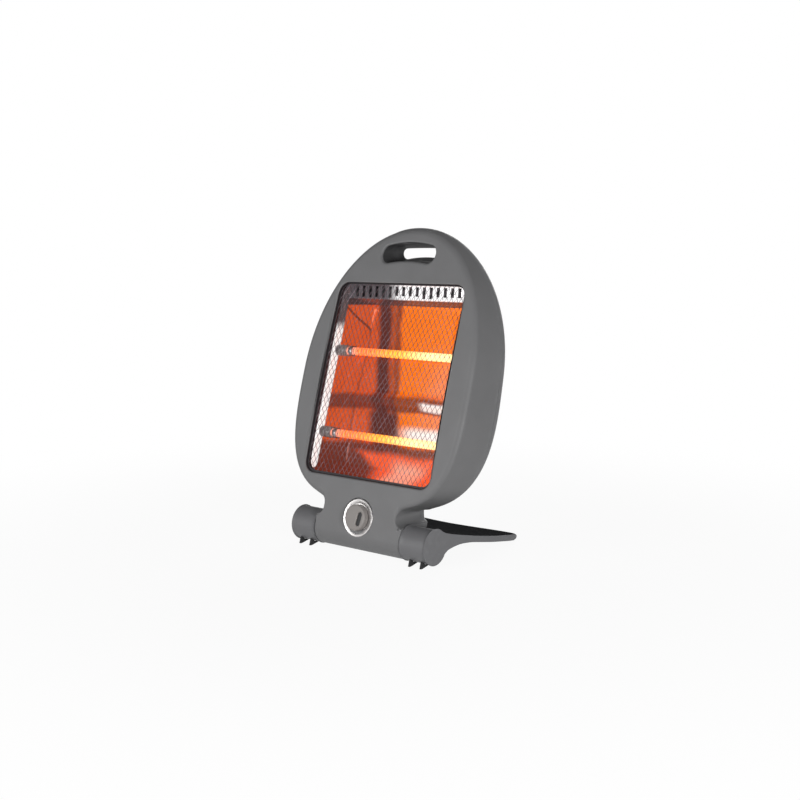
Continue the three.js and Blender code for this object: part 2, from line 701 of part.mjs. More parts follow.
// Slots through the tray's sloping top wall
function trayVents() {
  const reach = WINDOW_HALF_WIDTH - TRAY_SLOPE_X * 0.75;
  const top = WINDOW_HALF_HEIGHT;
  const slots = span(-reach, reach, VENT_COUNT).map((x) => (
    box(x - VENT_WIDTH / 2, top - TRAY_SLOPE_Y * 0.85, -TRAY_DEPTH + 4, x + VENT_WIDTH / 2, top + SHEET, -TRAY_BEND - 4)
  ));
  return join(...slots);
}

// The fold of polished sheet that runs across the tray between the tubes
function reflectorRidge() {
  const base = -TRAY_DEPTH + GAP;
  const wall = [
    [RIDGE_LEVEL - RIDGE_HALF_HEIGHT, base],
    [RIDGE_LEVEL + RIDGE_HALF_HEIGHT, base],
    [RIDGE_LEVEL, base + RIDGE_REACH],
  ];
  const inner = [
    [RIDGE_LEVEL - RIDGE_HALF_HEIGHT + 2 * SHEET, base - SHEET],
    [RIDGE_LEVEL + RIDGE_HALF_HEIGHT - 2 * SHEET, base - SHEET],
    [RIDGE_LEVEL, base + RIDGE_REACH - 1.6 * SHEET],
  ];
  const half = WINDOW_HALF_WIDTH;
  const fold = solid(alongX(wall, -half, half)).subtract(solid(alongX(inner, -2 * half, 2 * half)));
  return fold.intersect(trayHollow(GAP));
}

function heatShield() {
  const [halfX, halfY] = SHIELD_HALF;
  const front = -TRAY_DEPTH - SHEET - GAP;
  const plate = alongZ(
    roundedRectangle(-halfX, -halfY, halfX, halfY, 8, 3),
    front - SHIELD_STANDOFF - SHEET,
    front - SHIELD_STANDOFF,
  );
  const posts = [];
  for (const sx of [-1, 1]) {
    for (const sy of [-1, 1]) {
      posts.push(alongZ(circle(sx * halfX * 0.8, sy * halfY * 0.85, 4, 12), front - SHIELD_STANDOFF - SHEET, front));
    }
  }
  return join(plate, ...posts);
}

// ---------------------------------------------------------------- tubes

const TUBE_BORE = TUBE_RADIUS - TUBE_WALL;
const CAP_INNER_END = TUBE_LENGTH / 2 - CAP_SEAT;

function quartzTube() {
  const half = TUBE_LENGTH / 2;
  const wall = [[TUBE_BORE, -half], [TUBE_RADIUS, -half], [TUBE_RADIUS, half], [TUBE_BORE, half]];
  return turnedX([...wall, wall[0]], 20);
}

// A wound filament: one unbroken five-sided wire with straight ends, clear of itself
function heatingCoil() {
  const sides = 5;
  const stepsPerTurn = 8;
  const radius = TUBE_BORE - GAP - COIL_WIRE;
  const wound = TUBE_LENGTH - 2 * CAP_SEAT;
  const pitch = wound / COIL_TURNS;
  const path = [];
  path.push([-TUBE_LENGTH / 2 + 1, 0, radius]);
  for (let i = 0; i <= COIL_TURNS * stepsPerTurn; i += 1) {
    const angle = (2 * Math.PI * i) / stepsPerTurn;
    const x = -wound / 2 + (wound * i) / (COIL_TURNS * stepsPerTurn);
    path.push([x, radius * Math.sin(angle), radius * Math.cos(angle)]);
  }
  path.push([TUBE_LENGTH / 2 - 1, 0, radius]);
  const points = path.map((p) => new THREE.Vector3(...p));
  const rings = points.map((p, i) => {
    const ahead = points[Math.min(i + 1, points.length - 1)].clone();
    const along = ahead.sub(points[Math.max(i - 1, 0)]).normalize();
    const outward = new THREE.Vector3(0, p.y, p.z).normalize();
    const across = new THREE.Vector3().crossVectors(along, outward).normalize();
    outward.crossVectors(across, along);
    return Array.from({ length: sides }, (_, k) => {
      const turn = (-2 * Math.PI * k) / sides;
      const q = p.clone().addScaledVector(outward, COIL_WIRE * Math.cos(turn));
      return q.addScaledVector(across, COIL_WIRE * Math.sin(turn)).toArray();
    });
  });
  const halfTurn = stepsPerTurn / 2;
  let least = Infinity;
  points.forEach((p, i) => {
    for (const q of points.slice(i + halfTurn)) least = Math.min(least, p.distanceTo(q) - 2 * COIL_WIRE);
  });
  console.log(`heating coil: least gap to itself ${least.toFixed(2)} mm`);
  return loft(rings, path[0], path[path.length - 1]);
}

// Ceramic end cap, bored for the tube, with a flange against the bracket; side is -1 or 1
function ceramicCap(side) {
  const start = CAP_INNER_END;
  const end = start + CAP_LENGTH;
  const bore = TUBE_RADIUS + GAP;
  const flange = bracketPlane() + SHEET + GAP;
  const profile = [
    [bore, start],
    [CAP_RADIUS, start],
    [CAP_RADIUS, flange],
    [CAP_FLANGE_RADIUS, flange],
    [CAP_FLANGE_RADIUS, flange + 3],
    [CAP_RADIUS - 1, flange + 3],
    [CAP_RADIUS - 2, end],
    [0, end],
    [0, TUBE_LENGTH / 2 + GAP],
    [bore, TUBE_LENGTH / 2 + GAP],
    [bore, start],
  ];
  const cap = turnedX(profile, 14);
  return side > 0 ? cap : cap.rotateY(Math.PI);
}

const bracketPlane = () => WINDOW_HALF_WIDTH + SHEET + GAP;

// Steel bracket behind the tray's cheek that both caps of one side pass through
function tubeBracket(side) {
  const levels = Object.values(TUBE_LEVELS);
  const top = Math.max(...levels) + BRACKET_REACH;
  const bottom = Math.min(...levels) - BRACKET_REACH;
  const front = -TRAY_START - SHEET - GAP;
  const back = -TUBE_DEPTH - BRACKET_HALF_WIDTH;
  const near = bracketPlane();
  const plate = alongX(rectangle(bottom, back, top, front), ...between(side * near, side * (near + SHEET)));
  const lip = alongX(rectangle(bottom, back, top, back + SHEET), ...between(side * near, side * (near + BRACKET_LIP)));
  const holes = levels.map((level) => alongX(
    circle(level, -TUBE_DEPTH, CAP_RADIUS + 2 * GAP, 12),
    ...between(side * (near - 1), side * (near + 2 * SHEET)),
  ));
  return join(plate, lip).subtract(join(...holes));
}

// ---------------------------------------------------------------- selector

const DIAL_FLOOR = -DIAL_RECESS - DIAL_THICKNESS;

function dialRing() {
  const profile = [
    [BUSH_RADIUS + GAP, DIAL_FLOOR + GAP],
    [DIAL_RADIUS, DIAL_FLOOR + GAP],
    [DIAL_RADIUS, -DIAL_RECESS + GAP],
    [BUSH_RADIUS + GAP, -DIAL_RECESS + GAP],
  ];
  return turnedZ([...profile, profile[0]], 32);
}

// Knob: a low round cap with a bored stem and a raised grip bar
function knob() {
  const base = -DIAL_RECESS + 2 * GAP;
  const hollow = base + 2.2;
  const profile = [
    [SHAFT_RADIUS + GAP, base + SWITCH_NUT_HEIGHT + GAP],
    [SHAFT_RADIUS + 2.2, base + SWITCH_NUT_HEIGHT + GAP],
    [KNOB_RADIUS - 2, hollow + 1],
    [KNOB_RADIUS - 2, base],
    [KNOB_RADIUS, base],
    [KNOB_RADIUS - 0.4, KNOB_REACH - 1],
    [KNOB_RADIUS - 1.4, KNOB_REACH],
    [0, KNOB_REACH],
    [0, KNOB_REACH - 1.4],
    [SHAFT_RADIUS + GAP, KNOB_REACH - 1.4],
    [SHAFT_RADIUS + GAP, base + SWITCH_NUT_HEIGHT + GAP],
  ];
  const [gripWidth, gripLength, gripHeight] = KNOB_GRIP;
  const bar = roundedRectangle(-gripWidth / 2, -gripLength / 2, gripWidth / 2, gripLength / 2, gripWidth / 2.2, 3);
  return join(turnedZ(profile, 22), alongZ(bar, KNOB_REACH - 1, KNOB_REACH + gripHeight));
}

function switchShaft() {
  const top = KNOB_REACH - 1.4 - GAP;
  const bottom = DIAL_FLOOR - WALL - 6;
  return alongZ(circle(0, 0, SHAFT_RADIUS, 16), bottom, top);
}

// Rotary switch: a block behind the shell with a threaded bush that passes through it
function rotarySwitch() {
  const [sx, sy, sz] = SWITCH_SIZE;
  const front = DIAL_FLOOR - WALL - GAP;
  const block = alongZ(roundedRectangle(-sx / 2, -sy / 2, sx / 2, sy / 2, 3, 2), front - sz, front);
  const bush = alongZ(circle(0, 0, BUSH_RADIUS, 20), front - 1, -DIAL_RECESS + SWITCH_NUT_HEIGHT);
  const bore = alongZ(circle(0, 0, SHAFT_RADIUS + GAP, 16), front - 6, WALL);
  const lugs = span(-sx / 2 + 5, sx / 2 - 5, 3).map((x) => (
    box(x - 2.2, -0.5, front - sz - 6, x + 2.2, 0.5, front - sz + 1)
  ));
  return join(block, bush, ...lugs).subtract(solid(bore));
}

function switchNut() {
  const base = -DIAL_RECESS + 2 * GAP;
  const hexagon = circle(0, 0, BUSH_RADIUS + 3, 6);
  const bore = circle(0, 0, BUSH_RADIUS + GAP, 20);
  return alongZ(hexagon, base, base + SWITCH_NUT_HEIGHT - GAP, [bore]);
}

// ---------------------------------------------------------------- inside the barrel

const TILT_X = TILT_INSET - BARREL_HALF;
const TILT_FLOOR = -Math.sqrt((BARREL_RADIUS - WALL - GAP) ** 2 - (TILT_SIZE[1] / 2) ** 2);
const TILT_PIVOT = TILT_FLOOR + TILT_SIZE[2] - TILT_WALL - 2 * PENDULUM_BOB;

function tiltCase() {
  const [sx, sy, sz] = TILT_SIZE;
  const shell = box(-sx / 2, -sy / 2, TILT_FLOOR, sx / 2, sy / 2, TILT_FLOOR + sz);
  const room = box(
    -sx / 2 + TILT_WALL,
    -sy / 2 + TILT_WALL,
    TILT_FLOOR + TILT_WALL,
    sx / 2 - TILT_WALL,
    sy / 2 - TILT_WALL,
    TILT_FLOOR + sz + 1,
  );
  const pinHole = alongX(circle(0, TILT_PIVOT, PENDULUM_PIN + 0.05, 12), -sx, sx);
  return solid(shell).subtract(solid(room)).subtract(solid(pinHole)).translate(TILT_X, 0, 0);
}

function tiltPin() {
  const half = TILT_SIZE[0] / 2 - 0.2;
  return alongX(circle(0, TILT_PIVOT, PENDULUM_PIN, 12), TILT_X - half, TILT_X + half);
}

function tiltPendulum() {
  const half = TILT_SIZE[0] / 2 - TILT_WALL - 1;
  const rod = alongX(rectangle(-0.8, TILT_PIVOT - PENDULUM_LENGTH, 0.8, TILT_PIVOT), -2, 2);
  const eye = alongX(circle(0, TILT_PIVOT, PENDULUM_PIN + 1.2, 14), -3, 3);
  const bob = alongX(circle(0, TILT_PIVOT - PENDULUM_LENGTH, PENDULUM_BOB, 16), -half, half);
  const hole = alongX(circle(0, TILT_PIVOT, PENDULUM_PIN + 0.12, 14), -half, half);
  return join(rod, eye, bob).subtract(solid(hole)).translate(TILT_X, 0, 0);
}

// Screw terminals for the mains leads, lying in the barrel
function terminalBlock() {
  const [sx, sy, sz] = TERMINAL_SIZE;
  const end = BARREL_HALF - TERMINAL_INSET;
  const floor = -Math.sqrt((BARREL_RADIUS - WALL - GAP) ** 2 - (sy / 2) ** 2);
  const body = box(end - sx, -sy / 2, floor, end, sy / 2, floor + sz);
  const wells = [-1, 0, 1].map((i) => alongZ(
    circle(end - sx / 2 + i * TERMINAL_PITCH, 0, LEAD_RADIUS + 2 * GAP, 8),
    floor + sz - WELL_FLOOR,
    floor + sz + 1,
  ));
  return solid(body).subtract(join(...wells));
}

// ---------------------------------------------------------------- screws and cord inlet

// Slotted screw, head up, with the underside of its head at the origin
function screw(length) {
  const profile = [
    [0, -length],
    [SCREW_RADIUS, -length],
    [SCREW_RADIUS, 0],
    [SCREW_HEAD_RADIUS, 0],
    [SCREW_HEAD_RADIUS - 0.6, SCREW_HEAD_HEIGHT],
    [0, SCREW_HEAD_HEIGHT],
  ];
  return solid(turnedZ(profile, 8)).subtract(solid(box(-0.5, -5, 1.2, 0.5, 5, 4)));
}

const SCREW_FLOOR = (z) => backY(z) - REAR_ROUND * 0.6;

// Screws that draw the rear shell onto the front shell's bosses
function addShellScrews(group) {
  for (const [level, [x, z]] of Object.entries(SCREW_PLACES)) {
    for (const [name, side] of Object.entries(SIDES)) {
      const floor = SCREW_FLOOR(z);
      const mesh = piece(group, `shell_screw_${level}_${name}`, screw(floor - seamY(z) + 9), 'steel');
      mesh.rotation.x = -Math.PI / 2;
      mesh.position.set(side * x, floor + GAP, z);
    }
  }
}

// Screws through the tray's tabs into the front shell, heads to the back
function addTrayScrews(core) {
  for (const [level, way] of Object.entries({ upper: 1, lower: -1 })) {
    for (const [name, side] of Object.entries(SIDES)) {
      const mesh = piece(core, `tray_screw_${level}_${name}`, screw(6), 'steel');
      mesh.rotation.x = Math.PI;
      mesh.position.set(side * TAB_X, way * TRAY_TAB_OFFSET, -TRAY_START - SHEET - GAP);
    }
  }
}

// Flanged bush in the back of the head, where the mains cord goes in
function cordGland() {
  const seat = backY(GLAND_HEIGHT);
  const outline = circle(0, GLAND_HEIGHT, GLAND_RADIUS, 24);
  const neck = circle(0, GLAND_HEIGHT, GLAND_RADIUS - WALL, 24);
  const bore = circle(0, GLAND_HEIGHT, GLAND_BORE, 16);
  const slack = backY(GLAND_HEIGHT + GLAND_RADIUS) - seat + GAP;
  const flange = alongY(outline, seat + slack, seat + slack + 3);
  const sleeve = alongY(neck, seat - 2 * WALL - slack, seat + slack + 1);
  const hole = alongY(bore, seat - 4 * WALL, seat + 4 * WALL);
  return join(flange, sleeve).subtract(solid(hole));
}

// An insulated lead through the given places
function lead(places) {
  const path = new THREE.CatmullRomCurve3(places.map((p) => new THREE.Vector3(...p)));
  const shape = shapeOf(circle(0, 0, LEAD_RADIUS, 5));
  return new THREE.ExtrudeGeometry(shape, { extrudePath: path, steps: 3 * places.length, bevelEnabled: false });
}

// From the terminal block's wells to the gland and the tubes' caps
const LEADS = {
  lead_supply: [[37, 0, -9.4], [37, 0, -2], [37, 0, 5], [34, 5, 24], [18, 20, 44], [4, 44, 57]],
  lead_upper_tube: [
    [30, 0, -9.4],
    [30, 0, -2],
    [30, 0, 5],
    [33, 14, 24],
    [52, 34, 48],
    [76, 52, 76],
    [98, 68, 140],
    [114, 68, 190],
    [118, 59, 208.3],
    [109.6, 58.9, 208.3],
  ],
  lead_lower_tube: [
    [44, 0, -9.4],
    [44, 0, -2],
    [44, 0, 5],
    [47, 20, 26],
    [56, 38, 44],
    [76, 43, 62.5],
    [104, 46, 84],
    [117, 36, 104],
    [117, 29, 109.8],
    [109.6, 29, 109.8],
  ],
};

// Bimetal disc switch behind the heat shield
function thermalCutout() {
  const seat = -TRAY_DEPTH - 2 * SHEET - SHIELD_STANDOFF - 2 * GAP;
  const [flangeRadius, flangeThickness] = CUTOUT_FLANGE;
  const profile = [
    [0, seat - CUTOUT_HEIGHT],
    [CUTOUT_RADIUS, seat - CUTOUT_HEIGHT],
    [CUTOUT_RADIUS, seat - flangeThickness],
    [flangeRadius, seat - flangeThickness],
    [flangeRadius, seat],
    [0, seat],
  ];
  return turnedZ(profile, 20);
}

// ---------------------------------------------------------------- foot

const KNUCKLE_START = BARREL_HALF + BARREL_SIDE_GAP;
const KNUCKLE_END = KNUCKLE_START + KNUCKLE_LENGTH;
const FLOOR = -AXIS_HEIGHT;

// Side view of the foot plate, heights from the hinge axis
const FOOT_TOP = [[12, 14], [34, 7.6], [78, -2.4], [114, -9.2], [150, -14.6], [FOOT_REACH, -17.2]];
const FOOT_UNDER = [[FOOT_REACH, -21.4], [150, -19.6], [110, -13.4], [69, -5.6], [48, -3.6], [30, -5], [14, -9]];

function footProfile(drop) {
  const top = FOOT_TOP.map(([y, z]) => [y, z - drop]);
  const under = drop > 0 ? [[FOOT_REACH, FLOOR - 1], [14, FLOOR - 1]] : FOOT_UNDER;
  return [...top, ...under];
}

// Plan of the plate and its two arms, shrunk by inset, with a shallow hollow in the back edge
function footPlan(inset) {
  const half = KNUCKLE_END - inset;
  const arm = KNUCKLE_START + inset;
  const back = FOOT_REACH - inset;
  const r = FOOT_CORNER - inset;
  const q = Math.PI / 2;
  const cut = FOOT_CUT + inset;
  const hollow = (x) => back - FOOT_NOTCH * Math.cos((q * x) / (half - r)) ** 2;
  return [
    [half, 0],
    ...arc(half - r, back - r, r, 0, q, 4),
    ...span(half - r, r - half, 11).slice(1, -1).map((x) => [x, hollow(x)]),
    ...arc(r - half, back - r, r, q, 2 * q, 4),
    [-half, 0],
    [-arm, 0],
    [-arm, cut - 8],
    [-arm + 8, cut],
    [arm - 8, cut],
    [arm, cut - 8],
    [arm, 0],
  ];
}

function plateSolid(drop, inset) {
  const sideways = solid(alongX(footProfile(drop), -2 * KNUCKLE_END, 2 * KNUCKLE_END));
  return sideways.intersect(solid(alongZ(footPlan(inset), 2 * FLOOR, -FLOOR)));
}

// One knuckle: a drum with an inner wall, open at its outer end
function knuckle(side) {
  return alongX(circle(0, 0, BARREL_RADIUS, 32), ...between(side * KNUCKLE_START, side * KNUCKLE_END));
}

function knuckleHollow(side) {
  const ends = between(side * (KNUCKLE_START + END_WALL), side * (KNUCKLE_END + 1));
  return alongX(circle(0, 0, BARREL_RADIUS - KNUCKLE_WALL, 24), ...ends);
}

function foot() {
  const skin = plateSolid(0, 0);
  const pocket = plateSolid(FOOT_SKIN, FOOT_SKIN);
  const reach = KNUCKLE_END * 0.62;
  const ribs = span(-reach, reach, RIB_COUNT).map((x) => box(x - 1, FOOT_CUT, FLOOR, x + 1, FOOT_REACH, -FLOOR));
  const stiffened = skin.subtract(pocket).add(join(...ribs).intersect(skin));
  const barrelRoom = alongX(circle(0, 0, BARREL_RADIUS + 1, 32), -KNUCKLE_START, KNUCKLE_START);
  const bolts = alongX(circle(0, 0, BOLT_RADIUS + GAP, 12), -2 * KNUCKLE_END, 2 * KNUCKLE_END);
  return stiffened
    .add(join(knuckle(-1), knuckle(1)))
    .subtract(join(knuckleHollow(-1), knuckleHollow(1)))
    .subtract(solid(barrelRoom))
    .subtract(solid(bolts))
    .subtract(join(...padSeats()));
}

const PAD_X = KNUCKLE_END - FOOT_CORNER - PAD_SIZE[0] / 2;
const PAD_Y = FOOT_REACH - 13;
const PAD_TOP = FLOOR + 5;

const padOutline = (side, grow) => rectangle(
  side * PAD_X - PAD_SIZE[0] / 2 - grow,
  PAD_Y - PAD_SIZE[1] / 2 - grow,
  side * PAD_X + PAD_SIZE[0] / 2 + grow,
  PAD_Y + PAD_SIZE[1] / 2 + grow,
);

const padSeats = () => [-1, 1].map((side) => alongZ(padOutline(side, GAP), 2 * FLOOR, PAD_TOP + GAP));

const rearPad = (side) => alongZ(padOutline(side, 0), FLOOR, PAD_TOP);

// End cap: a cup pressed into the drum, flush with its end
function knuckleCap(side) {
  const outer = BARREL_RADIUS - KNUCKLE_WALL - GAP;
  const profile = [
    [0, KNUCKLE_END - CAP_SKIN],
    [outer - CAP_SKIN, KNUCKLE_END - CAP_SKIN],
    [outer - CAP_SKIN, KNUCKLE_END - CAP_DEPTH],
    [outer, KNUCKLE_END - CAP_DEPTH],
    [outer, KNUCKLE_END],
    [0, KNUCKLE_END],
  ];
  const cap = turnedX(profile, 28);
  return side > 0 ? cap : cap.rotateZ(Math.PI);
}

// Black wedge under a knuckle, pointing forward
function gripTooth(x) {
  const seat = BARREL_RADIUS + GAP;
  const at = (angle) => [seat * Math.cos(angle), seat * Math.sin(angle)];
  const from = THREE.MathUtils.degToRad(-132);
  const to = THREE.MathUtils.degToRad(-86);
  const wedge = [...span(from, to, 7).map(at), [-TOOTH_FRONT + 3, FLOOR], [-TOOTH_FRONT, FLOOR]];
  return alongX(wedge.reverse(), x - TOOTH_WIDTH / 2, x + TOOTH_WIDTH / 2);
}

function hingeBolt(side) {
  const headBase = KNUCKLE_START + END_WALL + GAP;
  const tip = BARREL_HALF - END_WALL - NUT_HEIGHT - 2;
  const profile = [
    [0, tip],
    [BOLT_RADIUS, tip],
    [BOLT_RADIUS, headBase],
    [BOLT_HEAD_RADIUS, headBase],
    [BOLT_HEAD_RADIUS, headBase + BOLT_HEAD_HEIGHT - 1],
    [BOLT_HEAD_RADIUS - 1, headBase + BOLT_HEAD_HEIGHT],
    [0, headBase + BOLT_HEAD_HEIGHT],
  ];
  const bolt = turnedX(profile, 14);
  return side > 0 ? bolt : bolt.rotateZ(Math.PI);
}

function hingeNut(side) {
  const end = BARREL_HALF - END_WALL - GAP;
  const ring = circle(0, 0, BOLT_RADIUS + GAP, 12).reverse();
  const nut = prism(circle(0, 0, NUT_RADIUS, 6), NUT_HEIGHT, [Y, Z, X], [ring]).translate(end - NUT_HEIGHT, 0, 0);
  return side > 0 ? nut : nut.rotateZ(Math.PI);
}

function frictionWasher(side) {
  const end = KNUCKLE_START - GAP;
  const hole = circle(0, 0, BOLT_RADIUS + GAP, 12).reverse();
  const disc = prism(circle(0, 0, WASHER_RADIUS, 20), WASHER_THICKNESS, [Y, Z, X], [hole]);
  const washer = disc.translate(end - WASHER_THICKNESS, 0, 0);
  return side > 0 ? washer : washer.rotateZ(Math.PI);
}

// ---------------------------------------------------------------- assembly

const SIDES = { left: -1, right: 1 };

function footGroup() {
  const group = new THREE.Group();
  piece(group, 'foot', foot(), 'foot');
  for (const [name, side] of Object.entries(SIDES)) {
    piece(group, `knuckle_cap_${name}`, knuckleCap(side), 'foot');
    piece(group, `hinge_bolt_${name}`, hingeBolt(side), 'steel');
    piece(group, `hinge_nut_${name}`, hingeNut(side), 'steel');
    piece(group, `friction_washer_${name}`, frictionWasher(side), 'steel');
    piece(group, `rear_pad_${name}`, rearPad(side), 'black_rubber');
    TOOTH_INSETS.forEach((inset, i) => {
      const spot = ['outer', 'inner'][i];
      piece(group, `grip_tooth_${name}_${spot}`, gripTooth(side * (KNUCKLE_END - inset)), 'black_rubber');
    });
  }
  return group;
}

function coreGroup() {
  const core = framedGroup(WINDOW_FRAME);
  piece(core, 'reflector_tray', reflectorTray(), 'polished');
  piece(core, 'reflector_ridge', reflectorRidge(), 'polished');
  piece(core, 'heat_shield', heatShield(), 'steel');
  piece(core, 'thermal_cutout', thermalCutout(), 'black_plastic').position.set(...CUTOUT_PLACE, 0);
  addTrayScrews(core);
  for (const [name, side] of Object.entries(SIDES)) {
    piece(core, `tube_bracket_${name}`, tubeBracket(side), 'steel');
  }
  for (const [level, y] of Object.entries(TUBE_LEVELS)) {
    piece(core, `quartz_tube_${level}`, quartzTube(), 'quartz').position.set(0, y, -TUBE_DEPTH);
    piece(core, `heating_coil_${level}`, heatingCoil(), 'glow').position.set(0, y, -TUBE_DEPTH);
    for (const [name, side] of Object.entries(SIDES)) {
      const cap = piece(core, `ceramic_cap_${level}_${name}`, ceramicCap(side), 'ceramic');
      cap.position.set(0, y, -TUBE_DEPTH);
    }
  }
  return core;
}

function selectorGroup() {
  const selector = framedGroup(KNOB_FRAME);
  piece(selector, 'dial_ring', dialRing(), 'dial');
  piece(selector, 'rotary_switch', rotarySwitch(), 'black_plastic');
  piece(selector, 'switch_nut', switchNut(), 'steel');
  piece(selector, 'knob', knob(), 'knob').rotation.z = KNOB_TURN;
  piece(selector, 'switch_shaft', switchShaft(), 'steel').rotation.z = KNOB_TURN;
  return selector;
}

function headGroup() {
  const head = new THREE.Group();
  const body = shellBody();
  piece(head, 'front_shell', frontShell(body), 'body');
  piece(head, 'rear_shell', rearShell(body), 'body');
  piece(head, 'grille', grille(), 'guard');
  piece(head, 'tilt_switch_case', tiltCase(), 'black_plastic');
  piece(head, 'tilt_switch_pin', tiltPin(), 'steel');
  piece(head, 'tilt_switch_pendulum', tiltPendulum(), 'steel');
  piece(head, 'terminal_block', terminalBlock(), 'black_plastic');
  piece(head, 'cord_gland', cordGland(), 'black_rubber');
  addShellScrews(head);
  for (const [name, places] of Object.entries(LEADS)) piece(head, name, lead(places), 'lead');
  head.add(coreGroup(), selectorGroup());
  return head;
}

const heater = new THREE.Group();
const onAxis = new THREE.Group();
onAxis.position.z = AXIS_HEIGHT;
onAxis.add(footGroup(), headGroup());
heater.add(onAxis);

// The origin lies on the floor, in the middle of the heater's footprint
const extent = new THREE.Box3().setFromObject(heater, true);
onAxis.position.y = -(extent.min.y + extent.max.y) / 2;

export default heater;
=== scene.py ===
"""Looks of the tilting halogen heater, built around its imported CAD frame.

Sizes are in millimetres from the tilt hinge: +X is the viewer's right, +Y the back, +Z up.
Each piece is shaped in millimetres and settled into the frame, in metres, as its last step.
"""

import logging
import math
from collections.abc import Callable, Sequence
from dataclasses import dataclass, field
from enum import Enum

import bmesh
import bpy
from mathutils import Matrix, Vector


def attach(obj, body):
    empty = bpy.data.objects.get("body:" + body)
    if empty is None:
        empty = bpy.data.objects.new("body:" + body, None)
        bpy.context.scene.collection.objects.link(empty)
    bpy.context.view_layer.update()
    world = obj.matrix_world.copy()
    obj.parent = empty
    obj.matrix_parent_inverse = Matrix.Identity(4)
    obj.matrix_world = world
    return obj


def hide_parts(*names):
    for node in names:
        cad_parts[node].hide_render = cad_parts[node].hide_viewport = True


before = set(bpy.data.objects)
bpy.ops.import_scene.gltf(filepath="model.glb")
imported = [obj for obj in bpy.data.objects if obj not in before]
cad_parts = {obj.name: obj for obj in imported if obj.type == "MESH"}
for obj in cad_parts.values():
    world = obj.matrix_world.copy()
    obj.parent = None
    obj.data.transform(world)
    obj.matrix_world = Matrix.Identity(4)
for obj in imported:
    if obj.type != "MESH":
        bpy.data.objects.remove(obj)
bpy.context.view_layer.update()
log = logging.getLogger("heater")

Pair = tuple[float, float]
Point = tuple[float, float, float]
Colour = tuple[float, float, float]
Place = tuple[float, float, float, Pair]  # x, z, share of the egg, growth from front to back
Settle = Callable[[Vector], Point]
Piece = bpy.types.Object
Socket = bpy.types.NodeSocket

MM = 0.001
HINGE = Vector((0.0, -72.955, 23.25))  # the tilt hinge in the frame, in millimetres
SMOOTH = math.radians(32)
WIRE_SMOOTH = math.radians(60)
MERGE = 1e-3  # vertices nearer than this become one
FINE_MERGE = 1e-4
SHEET = 2.0  # the wall of both shells, in millimetres
GRAIN = 0.0002  # the height of fine grain, in metres
WHITE = (1.0, 1.0, 1.0, 1.0)
STILL = (0.0, 0.0)  # an outline point that doesn't move from front to back
SIDES = ((-1, "left"), (1, "right"))


class Body(Enum):
    """The frame's bodies that carry new pieces."""

    BASE = "base"
    HEAD = "head"
    SELECTOR = "selector"


class Slot(Enum):
    """The record's material slots."""

    SHELL = "shell_grey"
    FOOT = "foot_grey"
    RUBBER = "black_rubber"
    ZINC = "zinc_steel"
    GUARD = "guard_chrome"
    REFLECTOR = "polished_reflector"
    QUARTZ = "quartz"
    FILAMENT = "hot_filament"
    CERAMIC = "ceramic"
    DIAL = "dial_silver"
    KNOB = "knob_grey"
    BLACK = "black_plastic"
    LEAD = "lead_insulation"


# ---------------------------------------------------------------- small sums


def span(start: float, end: float, count: int) -> list[float]:
    """Returns count evenly spaced values from start to end."""
    return [start + (end - start) * i / (count - 1) for i in range(count)]


def ease(low: float, high: float, value: float) -> float:
    """Returns a smooth step from 0 at low to 1 at high."""
    t = min(1.0, max(0.0, (value - low) / (high - low)))
    return t * t * (3 - 2 * t)


def arc(x: float, z: float, radius: float, start: float, end: float, steps: int) -> list[Pair]:
    """Returns points on an arc.

    Args:
        x, z: The arc's centre.
        radius: Its radius.
        start, end: Its first and last angle, in degrees.
        steps: How many parts it is divided into.

    Returns:
        The points from start to end.
    """
    angles = [math.radians(a) for a in span(start, end, steps + 1)]
    return [(x + radius * math.cos(a), z + radius * math.sin(a)) for a in angles]


def fillet(steps: int) -> list[Pair]:
    """Returns a quarter round of radius 1: how far in and how deep each of its steps lies."""
    return [(1 - math.cos(a), 1 - math.sin(a)) for a in map(math.radians, span(0, 90, steps))]


def circle(radius: float, height: float, sides: int) -> list[Point]:
    """Returns the points of a level circle round Z."""
    return [(x, y, height) for x, y in arc(0, 0, radius, 0, 360 - 360 / sides, sides - 1)]


def between(first: Pair, last: Pair, shares: Sequence[float]) -> list[Pair]:
    """Returns points on a straight line, each at its share of the way."""
    (ax, az), (bx, bz) = first, last
    return [(ax + (bx - ax) * t, az + (bz - az) * t) for t in shares]


def grown(loop: Sequence[Pair], by: Sequence[float]) -> list[Pair]:
    """Moves each point of a closed loop along its outward normal.

    Args:
        loop: The points, anticlockwise.
        by: How far each point moves; a negative number moves it inwards.

    Returns:
        The moved points.
    """
    moved = []
    for i, (x, z) in enumerate(loop):
        (ax, az), (bx, bz) = loop[i - 1], loop[(i + 1) % len(loop)]
        tx, tz = bx - ax, bz - az
        size = math.hypot(tx, tz) or 1.0
        moved.append((x + by[i] * tz / size, z - by[i] * tx / size))
    return moved


def rounded(half_x: float, low: float, high: float, radius: float, steps: int = 6, along: int = 1) -> list[Pair]:
    """Returns a rectangle with round corners, anticlockwise from its lower right.

    Args:
        half_x: Half its width.
        low, high: Its lower and upper edge.
        radius: The corners' radius.
        steps: Parts of each corner.
        along: Parts of each straight side.

    Returns:
        The outline's points.
    """
    a, b, c = half_x - radius, high - radius, low + radius
    shares = span(0, 1, along + 1)[1:-1]
    points: list[Pair] = []
    for x, z, first in ((a, c, -90), (a, b, 0), (-a, b, 90), (-a, c, 180)):
        corner = arc(x, z, radius, first, first + 90, steps)
        if points:
            points += between(points[-1], corner[0], shares)
        points += corner
    return points + between(points[-1], points[0], shares)


# ---------------------------------------------------------------- modelling steps


def clear() -> None:
    """Leaves edit mode and lets go of everything that is selected."""
    if bpy.context.object and bpy.context.object.mode != "OBJECT":
        bpy.ops.object.mode_set(mode="OBJECT")
    bpy.ops.object.select_all(action="DESELECT")


